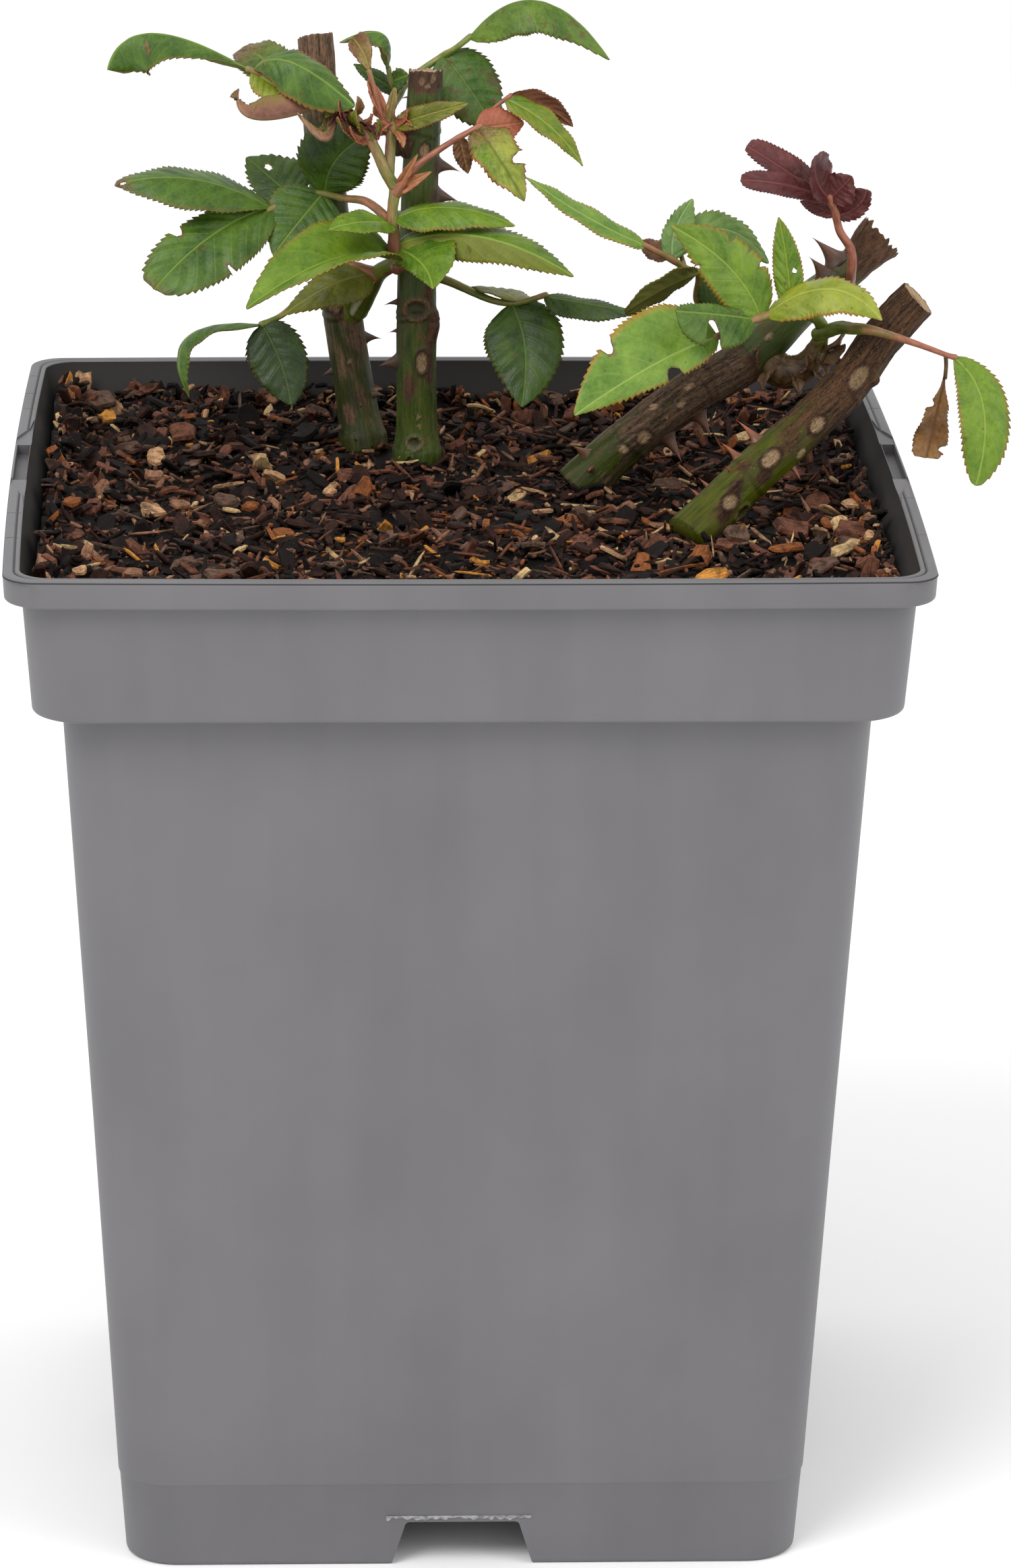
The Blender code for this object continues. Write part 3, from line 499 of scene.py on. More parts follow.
def squareRing(half, corner, bulge, z):
    # points round a square with round corners, whose sides bow out at their middle
    points = []
    straight = half - corner
    for quarter in range(4):
        cosine, sine = ((1, 0), (0, 1), (-1, 0), (0, -1))[quarter]
        spots = []
        for step in range(1, pot["sideSteps"]):
            y = straight * (2 * step / pot["sideSteps"] - 1)
            spots.append((half + bulge * (1 - (y / straight) ** 2), y))
        for step in range(pot["cornerSteps"] + 1):
            turn = math.pi / 2 * step / pot["cornerSteps"]
            spots.append((straight + corner * math.cos(turn), straight + corner * math.sin(turn)))
        for x, y in spots:
            points.append(Vector((x * cosine - y * sine, x * sine + y * cosine, z)))
    return points


def block(rings, name):
    # a closed solid through two rings of points
    points = [p for ring in rings for p in ring]
    return makePiece(name, points, tubeFaces(len(rings), len(rings[0])), smooth=False)


def drainChannel(alongX):
    reach, corner = pot["bodyTopHalf"], pot["notchCorner"]
    low, high = -2.0, pot["notchHeight"]
    halfHigh = pot["notchTop"] / 2
    halfLow = pot["notchFoot"] / 2 + (pot["notchFoot"] / 2 - halfHigh) * 0.2    # carried on below the pot
    turns = [math.radians(turn) for turn in (0, 22.5, 45, 67.5, 90)]
    bend = [(halfHigh - corner * (1 - math.cos(a)), high - corner * (1 - math.sin(a))) for a in turns]
    outline = [(-halfLow, low), (halfLow, low)] + bend + [(-side, z) for side, z in reversed(bend)]
    return block([[(end, -side, z) if alongX else (side, end, z) for side, z in outline]
                  for end in (reach, -reach)], "channel")


def prism(outline, depth, name):
    # a cutter over an outline in the level plane, from the rim's top down to a depth
    top = pot["height"]
    return block([[(x, y, z) for x, y in outline] for z in (top - depth, top + pot["cutPast"])], name)


def rimCutters():
    # clip pockets with a shallow ramp to each side, and the hairlines over the rim
    inner, outer = pot["pocketIn"], pot["pocketOut"]
    low, high = pot["pocketEnds"]
    far, middle, near = pot["rampReach"]
    over = 0.2                          # what a ramp shares with its pocket
    cuts = [([(inner, low), (outer, low), (outer, high), (inner, high)], pot["pocketDepth"])]
    for end, way in ((low, -1), (high, 1)):
        ramp = [(inner - over, end - way * over), (outer + 0.3, end - way * over),
                (outer + 0.4, end + way * near), (inner + 0.5, end + way * middle),
                (inner - over, end + way * far)]
        cuts.append((ramp[::way], pot["rampDepth"]))
    cutters = []
    for side in (-1, 1):
        for outline, depth in cuts:
            cutters.append(prism([(x * side, y) for x, y in outline][::side], depth, "pocket"))
    for side, places in pot["joints"]:
        start, end = (pot["rimInnerHalf"] + 1.2) * side, (pot["rimHalf"] + 2) * side
        for y in places:
            past = y + pot["jointWidth"]
            outline = [(start, y), (end, y), (end, past), (start, past)]
            cutters.append(prism(outline[::side], pot["jointDepth"], "joint"))
    return cutters


def makeFlash():
    # a torn light edge of plastic above the front drain notch
    rng = random.Random(2)
    steps = pot["flashSteps"]
    crest = pot["notchHeight"] + pot["flashTop"]
    points = []
    for i in range(steps + 1):
        x = pot["flashHalf"] * (2 * i / steps - 1)
        torn = abs(noise.noise(Vector((x * 0.5, 3.0, 0.0)))) * 1.5 + rng.uniform(-0.1, 0.4)
        foot = crest - 0.25 - pot["flashDrop"] * min(1.0, max(0.02, torn))
        for z, out in ((foot, -0.6), (foot, 0.14), (crest, 0.10), (crest, -0.6)):
            points.append((x + pot["flashMiddle"], -bodyHalf(z) - out, z))
    mat = newMaterial("tornPlastic", Roughness=0.6)
    grain = noisy(mat, objectPlace(mat), 900.0, 3.0)
    dark, light = pot["tornColours"]
    finish(mat, ramped(mat, grain, [(0.35, dark), (0.65, light)]), None, grain, 0.1, 0.6)
    flash = makePiece("pot_flash", points, tubeFaces(steps + 1, 4), [mat], smooth=False)
    hand(flash, "pot_plastic", "pot")


def makePot():
    rimFoot = pot["height"] - pot["rimHeight"]
    top = pot["height"]
    stepIn = pot["collarFootZ"] + pot["wall"]
    band, collar = pot["footBandZ"], pot["collarFootZ"]
    bead = pot["rimInnerHalf"] + pot["beadWidth"]
    profile = roundedProfile([
        (0.0, 0.0, 0), (pot["bodyFootHalf"] - 0.2, 0.0, 1.2), (bodyHalf(band), band, 0),
        (bodyHalf(band + 0.4) + pot["footBandStep"], band + 0.4, 0.3), (bodyHalf(100), 100, 0),
        (bodyHalf(collar - 2), collar - 2, 0), (pot["bodyTopHalf"], collar, 1.0),
        (pot["collarFootHalf"], collar, 1.2), (collarHalf(collar + 2.5), collar + 2.5, 0),
        (collarHalf(rimFoot - 1), rimFoot - 1, 0), (pot["collarTopHalf"], rimFoot, 0.6),
        (pot["rimHalf"] - 0.3, rimFoot, 0.8), (pot["rimHalf"], top, 1.4), (bead + 0.5, top - 0.05, 0.2),
        (bead + 0.3, top - pot["groove"], 0.2), (bead, top - pot["groove"], 0.2), (bead - 0.2, top, 0.3),
        (pot["rimInnerHalf"], top - 0.1, 0.5), (pot["rimInnerHalf"] - 0.1, top - 1.4, 0),
        (insideHalf(rimFoot - 2), rimFoot - 2, 1.0), (insideHalf(stepIn + 4), stepIn + 4, 1.0),
        (insideHalf(stepIn), stepIn, 1.0), (insideHalf(pot["floor"]), pot["floor"], 1.0),
        (0.0, pot["floor"], 0)])
    brim = max(range(len(profile)), key=lambda i: (profile[i][1] > top - 0.01, profile[i][0]))
    points, wear = [], []
    for i, (half, z) in enumerate(profile[1:-1], 1):
        share = smoothStep(pot["collarFootZ"], rimFoot, z)
        corner = pot["bodyCorner"] + (pot["rimCorner"] - pot["bodyCorner"]) * share
        corner -= pot["wall"] if i > brim else 0.0
        ring = squareRing(half, corner, pot["rimBulge"] * smoothStep(rimFoot - 8, rimFoot, z), z)
        points.extend(ring)
        below, upTo = pot["wornTop"]
        inside, outTo = pot["wornSide"]
        edge = smoothStep(top - below, top - upTo, z)
        edge *= smoothStep(pot["rimHalf"] - inside, pot["rimHalf"] - outTo, half)
        foot = smoothStep(*pot["wornFoot"], z) * 0.5
        for p in ring:
            near = max(math.exp(-((p.x - x) ** 2 + (p.z - at) ** 2) / size ** 2)
                       for x, at, size in pot["scuffs"])
            wear.append((max(edge, foot), near if p.y < -pot["rimInnerHalf"] else 0.0, 0.0))
    size = len(ring)
    slots = []
    # faces inside the rim more than 0.3 mm below its top take the darker copy of the plastic with less sheen:
    # painted shade inside the pot
    for i in range(1, len(profile) - 2):
        slots += [int(i > brim and profile[i][1] < top - 0.3)] * size
    faces = tubeFaces(len(profile) - 2, size)
    materials = [potPlastic("potPlastic", pot["colour"], 0.5),
                 potPlastic("potInsideShaded", pot["shadedWallColour"], 0.12)]
    made = makePiece("pot_shell", points, faces, materials, slots + [0, 1])
    keepPlaces(made, "wear", wear)
    cutters = [drainChannel(True), drainChannel(False)] + rimCutters()
    for cutter in cutters:
        cut = made.modifiers.new(cutter.name, "BOOLEAN")
        cut.object = cutter
        cut.operation = "DIFFERENCE"
    applyModifiers(made)
    for cutter in cutters:
        bpy.data.objects.remove(cutter, do_unlink=True)
    made.data.set_sharp_from_angle(angle=math.radians(pot["sharpTurn"]))
    hand(made, "pot_plastic", "pot")
    makeFlash()


makePot()
print("stage: pot made")


# ---- bark mulch

mulch = {
    "top": 217.4,
    "seed": 11,
    "wallGap": 0.7,
    "groundSteps": 64,
    "groundDrop": 1.2,           # the bare ground lies this far below the chips
    "groundDepth": 8.0,          # and goes down to this far above the foot of the collar
    # near black, darker than the compost itself: painted shade in the gaps between the chips
    "soilAndGapShade": rgb(22, 15, 12),
    # colour of dark blotches at random over the chips and the ground
    "darkBlotch": rgb(26, 17, 13),
    "roughWide": 22.0,           # between the rises of the rough surface
    "roughHigh": 1.5,
    "chips": 4300,
    "chipLength": (2.2, 8.5),
    "chipWidth": (0.20, 0.70),   # as a share of its length
    "chipLie": (-1.6, 1.1),      # from the surface
    "wallChips": 520,            # more of them, which lean on the walls
    "wallChipLength": (2.5, 7.0),
    "wallChipWidth": (0.2, 0.6),
    "splinters": 650,
    "splinterLength": (4.0, 12.0),
    "splinterWidth": (0.35, 1.1),
    "crumbs": 2600,
    "crumbSize": (0.6, 2.0),
    "corners": (7, 11),          # of a narrow and of a broad chip's outline
    "broad": 2.2,
    "tilt": 24.0,                # degrees, how far most chips lie out of level
    "bank": (7.2, 5.4, 3.4),     # rise at the left, right and back wall
    "bankWide": 12.0,            # how far from the wall that rise starts
    "mounds": [(-62, 66, 17, 3.6), (-10, 78, 13, 2.6), (60, 62, 20, 1.4), (-60, -48, 26, 0.8)],
}
chipColours = {                  # the colour's share of the chips, of the splinters and of the crumbs
    "black": (rgb(24, 13, 8), 33, 20, 30),
    "darkBrown": (rgb(60, 34, 24), 31, 24, 30),
    "redBrown": (rgb(126, 78, 58), 15, 20, 14),
    "greyBrown": (rgb(112, 84, 68), 8, 8, 8),
    "brownLight": (rgb(160, 114, 86), 5, 10, 6),
    "orangeBrown": (rgb(158, 92, 46), 3, 10, 6),
    "tan": (rgb(214, 166, 122), 2, 4, 2),
    "orange": (rgb(222, 150, 64), 1, 1, 1),
    "straw": (rgb(230, 192, 138), 2, 3, 1),
}
# chips that lie on top: colour, place, length, width, turn and how far they lean to the front
topChips = [
    ("tan", -83, 86, 6.2, 4.6, 80, 55), ("greyBrown", -79, 77, 7.4, 6.4, 10, 25),
    ("orange", -77, 65, 4.4, 3.6, 15, 35), ("tan", -66, 35, 4.2, 5.8, 10, 30),
    ("redBrown", -60, 46, 6.2, 7.0, 30, 20), ("brownLight", -66, 19, 3.6, 5.0, 80, 20),
    ("straw", -84, -53, 8.0, 1.8, 40, 0), ("orangeBrown", -70, -60, 5.0, 2.8, 55, 20),
    ("tan", -80, -61, 3.6, 3.4, 10, 20), ("straw", -47, -41, 6.4, 1.5, 60, 10),
    ("straw", -49, -7, 4.2, 1.5, -25, 0), ("orangeBrown", -83, -14, 4.8, 3.6, 45, 20),
    ("black", -58, -37, 15.0, 1.7, -50, 0), ("tan", -66, -13, 6.4, 5.4, 30, 25),
    ("brownLight", -60, -2, 5.4, 3.6, 8, 15), ("greyBrown", -50, -3, 6.8, 4.4, -20, 25),
    ("greyBrown", 58, -33, 4.6, 6.4, 70, 40), ("redBrown", 77, -5, 6.2, 7.0, -10, 25),
    ("redBrown", 70, -24, 8.6, 8.0, 5, 15), ("orangeBrown", 68, -41, 8.0, 3.2, 8, 15),
    ("orange", 51, -62, 8.6, 4.4, 6, 25), ("redBrown", 82, -34, 7.8, 8.0, -5, 15),
    ("tan", 85, -44, 2.6, 3.6, 0, 20), ("orangeBrown", 85, -56, 7.0, 1.8, 85, 20),
    ("greyBrown", 74, -56, 9.4, 4.2, 30, 15), ("tan", 84, -14, 5.0, 3.4, 5, 20),
    ("redBrown", 72, -17, 11.0, 1.4, -45, 0), ("orangeBrown", 78, -21, 6.4, 2.6, -70, 10),
    ("tan", 85, 32, 5.6, 2.2, -80, 30), ("straw", 82, 12, 6.0, 0.8, -70, 0),
    ("greyBrown", -71, 43, 3.8, 3.8, 30, 20), ("orangeBrown", -45, -4, 4.8, 3.2, 15, 20),
    ("brownLight", -79, -47, 5.6, 2.8, 80, 20), ("tan", -50, 17, 9.6, 1.1, 20, 0),
    ("brownLight", -69, -61, 4.8, 3.2, 25, 20), ("greyBrown", 43, 46, 6.4, 2.4, 60, 30),
    ("redBrown", -68, 82, 5.0, 3.0, 20, 45), ("brownLight", -40, 80, 3.6, 3.2, 30, 40),
]


def chipBark(name, colour):
    mat = newMaterial(name, Roughness=0.8, Specular_IOR_Level=0.18)
    own = ownPlace(mat)
    fibre = times(mat, noisy(mat, stretched(mat, own, 0.25, 2.2, 2.2), 1.0, 4.0, 0.6), 0.45)
    fibre = plus(mat, fibre, times(mat, noisy(mat, own, 0.9, 5.0, 0.7), 0.55))
    # darker blotches at random over the surface
    darkBlotch = noisy(mat, objectPlace(mat), 260.0, 3.0, 0.6)
    grain = ramped(mat, fibre, [(0.38, toned(colour, 0.40)), (0.62, toned(colour, 1.45))])
    blotched = mixed(mat, ranged(mat, darkBlotch, 0.52, 0.66, 0.0, 0.7), grain, mulch["darkBlotch"])
    rough = ranged(mat, darkBlotch, 0.3, 0.7, 0.62, 0.9)
    return finish(mat, blotched, rough, fibre, 0.35, 0.7)


def mulchHeight(x, y):
    swell = sum(rise * math.exp(-((x - atX) ** 2 + (y - atY) ** 2) / (2 * wide * wide))
                for atX, atY, wide, rise in mulch["mounds"])
    rough = noise.fractal(Vector((x / mulch["roughWide"], y / mulch["roughWide"], 3.1)), 0.6, 2.0, 4)
    wall = insideHalf(mulch["top"])
    bank = max(rise * smoothStep(wall - mulch["bankWide"], wall, out)
               for rise, out in zip(mulch["bank"], (-x, x, y)))
    swell += bank * (0.85 + 0.5 * noise.noise(Vector((x / 14, y / 14, 5.0))))
    return mulch["top"] - 1.6 + swell + rough * mulch["roughHigh"]


def chip(pile, rng, slot, spot, length, width, thick, turn, lean, roll):
    # a broken slab of bark with a jagged outline and slightly bent faces
    corners = mulch["corners"][width > mulch["broad"]]
    outline = []
    square = rng.uniform(0.6, 0.95)         # squarer than an ellipse
    for k in range(corners):
        angle = 2 * math.pi * (k + rng.uniform(-0.28, 0.28)) / corners
        c, s = math.cos(angle), math.sin(angle)
        reach = rng.uniform(0.70, 1.10)
        outline.append((math.copysign(abs(c) ** square, c) * length / 2 * reach,
                        math.copysign(abs(s) ** square, s) * width / 2 * reach))
    bend = rng.uniform(-0.5, 0.5) * thick
    cosT, sinT = math.cos(turn), math.sin(turn)
    cosL, sinL = math.cos(lean), math.sin(lean)
    cosR, sinR = math.cos(roll), math.sin(roll)

    def lay(x, y, z):
        z += bend * (2 * x / length) ** 2
        x, z = x * cosR + z * sinR, z * cosR - x * sinR
        x, y = x * cosT - y * sinT, x * sinT + y * cosT
        y, z = y * cosL - z * sinL, y * sinL + z * cosL
        return Vector((spot[0] + x, spot[1] + y, spot[2] + z))

    rows = []
    for level, shrink in ((-0.5, 0.86), (-0.1, 1.0), (0.5, 0.9)):
        rows.append([(x * shrink * rng.uniform(0.95, 1.05), y * shrink, level * thick * rng.uniform(0.8, 1.2))
                     for x, y in outline])
    flat = [p for row in rows for p in row]
    flat.append((0, 0, -0.5 * thick))
    flat.append((rng.uniform(-0.2, 0.2) * length, 0, thick * rng.uniform(0.4, 0.75)))
    faces = bandFaces(3, corners)
    for k in range(corners):
        after = (k + 1) % corners
        faces.append((after, k, 3 * corners))
        faces.append((2 * corners + k, 2 * corners + after, 3 * corners + 1))
    away = rng.uniform(0, 500)
    pile.add([lay(*p) for p in flat], faces, slot, ownPlace=[(p[0] + away, p[1], p[2]) for p in flat])


def mulchGround():
    steps = mulch["groundSteps"]
    half = insideHalf(mulch["top"]) - 0.15
    low = pot["collarFootZ"] + mulch["groundDepth"]
    corner = pot["rimCorner"] - 2
    points = []
    for j in range(steps + 1):
        for i in range(steps + 1):
            x, y = half * (2 * i / steps - 1), half * (2 * j / steps - 1)
            over = Vector((max(abs(x) - half + corner, 0), max(abs(y) - half + corner, 0)))
            if over.length > corner:        # pulled in to the pot's round corner
                pull = over * (1 - corner / over.length)
                x, y = x - math.copysign(pull.x, x), y - math.copysign(pull.y, y)
            points.append(Vector((x, y, mulchHeight(x, y) - mulch["groundDrop"])))
    faces = []
    size = steps + 1
    for j in range(steps):
        for i in range(steps):
            a = j * size + i
            faces.append((a, a + 1, a + size + 1, a + size))
    rim = list(range(size)) + [j * size + steps for j in range(1, size)]
    rim += [steps * size + i for i in reversed(range(steps))] + [j * size for j in reversed(range(1, steps))]
    first = len(points)
    shrink = insideHalf(low) / insideHalf(mulch["top"])
    points += [Vector((points[v].x * shrink, points[v].y * shrink, low)) for v in rim]
    for k in range(len(rim)):
        after = (k + 1) % len(rim)
        faces.append((rim[after], rim[k], first + k, first + after))
    faces.append(tuple(reversed(range(first, first + len(rim)))))
    # the ground's near-black colour stands in for the shade between the chips
    ground = makePiece("mulch_ground", points, faces, [chipBark("compostAndGapShade", mulch["soilAndGapShade"])])
    keepPlaces(ground, "ownPlace", points)
    hand(ground, "bark_mulch", "mulch")


def makeMulch():
    rng = random.Random(mulch["seed"])
    mulchGround()
    names = list(chipColours)
    colours, chipShares, splinterShares, crumbShares = zip(*chipColours.values())
    half = insideHalf(mulch["top"]) - mulch["wallGap"]
    materials = [chipBark("chip_" + name, colour) for name, colour in zip(names, colours)]
    piles = [Mesh(), Mesh()]        # the front half and the back half

    def pick(shares):
        return rng.choices(range(len(names)), shares)[0]

    def lie(spread):
        return math.radians(rng.gauss(0, spread))

    for _ in range(mulch["chips"]):
        short, long = mulch["chipLength"]
        length = short + (long - short) * rng.random() ** 1.9
        width = length * rng.uniform(*mulch["chipWidth"])
        thick = min(1.6, 0.3 + width * rng.uniform(0.08, 0.28))
        room = half - length * 0.34
        x, y = rng.uniform(-room, room), rng.uniform(-room, room)
        z = mulchHeight(x, y) + rng.uniform(*mulch["chipLie"])
        tilt = mulch["tilt"] * (1.5 if max(abs(x), y) > half - mulch["bankWide"] else 1.0)
        lean, roll = lie(tilt), lie(tilt)
        chip(piles[y > 0], rng, pick(chipShares), (x, y, z), length, width, thick, rng.uniform(0, math.pi),
             lean, roll)
    for _ in range(mulch["wallChips"]):
        length = rng.uniform(*mulch["wallChipLength"])
        width = length * rng.uniform(*mulch["wallChipWidth"])
        out, along = half - rng.uniform(0.2, 3.5), rng.uniform(-half, half) * 0.97
        x, y = rng.choice(((-out, along), (out, along), (along, out)))
        z = mulchHeight(x, y) + rng.uniform(-0.8, 1.4)
        chip(piles[y > 0], rng, pick(chipShares), (x, y, z), length, width, rng.uniform(0.4, 1.2),
             math.pi / 2 * (abs(x) > abs(y)) + rng.gauss(0, 0.35), lie(35), lie(25))
    for colour, x, y, length, width, turn, lean in topChips:
        z = mulchHeight(x, y) + 1.5 + math.sin(math.radians(lean)) * width * 0.3
        chip(piles[y > 0], rng, names.index(colour), (x, y, z), length, width, min(1.6, 0.5 + width * 0.15),
             math.radians(turn), math.radians(lean), lie(8))
    for end, pile in zip(("front", "back"), piles):
        hand(pile.piece("mulch_chips_" + end, materials, smooth=False), "bark_mulch", "mulch")

    fine = Mesh()
    for _ in range(mulch["splinters"]):
        length = rng.uniform(*mulch["splinterLength"])
        room = half - length * 0.5
        x, y = rng.uniform(-room, room), rng.uniform(-room, room)
        slot = pick(splinterShares)
        z = mulchHeight(x, y) + rng.uniform(-0.4, 1.6)
        chip(fine, rng, slot, (x, y, z), length, rng.uniform(*mulch["splinterWidth"]), rng.uniform(0.3, 0.6),
             rng.uniform(0, math.pi), lie(16), lie(16))
    for _ in range(mulch["crumbs"]):
        x, y = rng.uniform(-half, half), rng.uniform(-half, half)
        size = rng.uniform(*mulch["crumbSize"])
        slot = pick(crumbShares)
        z = mulchHeight(x, y) + rng.uniform(-0.8, 1.2)
        chip(fine, rng, slot, (x, y, z), size, size * 0.5, size * 0.35, rng.uniform(0, math.pi),
             lie(30), lie(30))
    hand(fine.piece("mulch_splinters", materials, smooth=False), "bark_mulch", "mulch")


makeMulch()
print("stage: mulch laid")


# ---- canes and boughs

bark = {
    "sides": 60,
    "ringStep": 0.5,
    "sunk": 3.5,                 # how far a foot goes down into the mulch
    "thornSides": 18,
    "thornRings": 12,
    "thornHook": 0.28,           # how far a point is drawn down, as a share of its length
    "thornSunk": 0.8,            # how far its foot stands in the bark
    "roundEnd": ((0.9, 1.2), (0.7, 2.4), (0.4, 3.2), (0.1, 3.5)),       # width's share, push along the limb
    # a pruned face from its lip to the pith: width's share, how far it is sunk, bare wood, dark stain
    "cutFace": ((0.965, -0.05, 0.5, 0.5), (0.93, 0.08, 0.9, 0.15), (0.88, 0.2, 1.0, 0.0),
                (0.76, 0.2, 1.0, 0.0), (0.62, 0.15, 1.0, 0.05), (0.48, 0.2, 1.0, 0.0),
                (0.38, 0.35, 1.0, 0.25), (0.30, 0.7, 0.9, 0.4), (0.15, 0.8, 0.9, 0.3),
                (0.02, 0.8, 0.9, 0.3)),
    # a stub from its foot to its broken end: share of its length, share of its width
    "stubSides": ((0.0, 1.5), (0.25, 1.25), (0.5, 1.02), (0.75, 1.05), (0.92, 1.0), (1.0, 0.78),
                  (0.95, 0.4), (0.9, 0.05)),
}
# what a mark does to the bark's rise in mm and to its brown, bare and dark shares: each by the ridge
# round the mark, by its inside and all the way round the cane
raisedMarks = {
    "scar": ((0.34, -0.30, 0), (0.5, 0.6, 0), (0, 0.6, 0), (0.95, 0, 0)),
    "bud": ((0.45, -0.35, 0), (0.8, 0, 0), (0.35, 0, 0), (0, 0.75, 0)),
    "wide": ((0.15, -0.15, 0), (0, 0, 0.2), (0, 0.35, 0), (0.6, 0, 0)),
    "dot": ((0, 0.10, 0), (0, 0, 0), (0, 0.7, 0), (0.5, 0, 0)),
}
stains = {                       # brown and dark shares of a stain with no relief
    "red": (0.55, 0.30),
    "char": (1.1, 0.55),
    "green": (-0.9, 0.0),
    "brown": (0.9, 0.0),
}

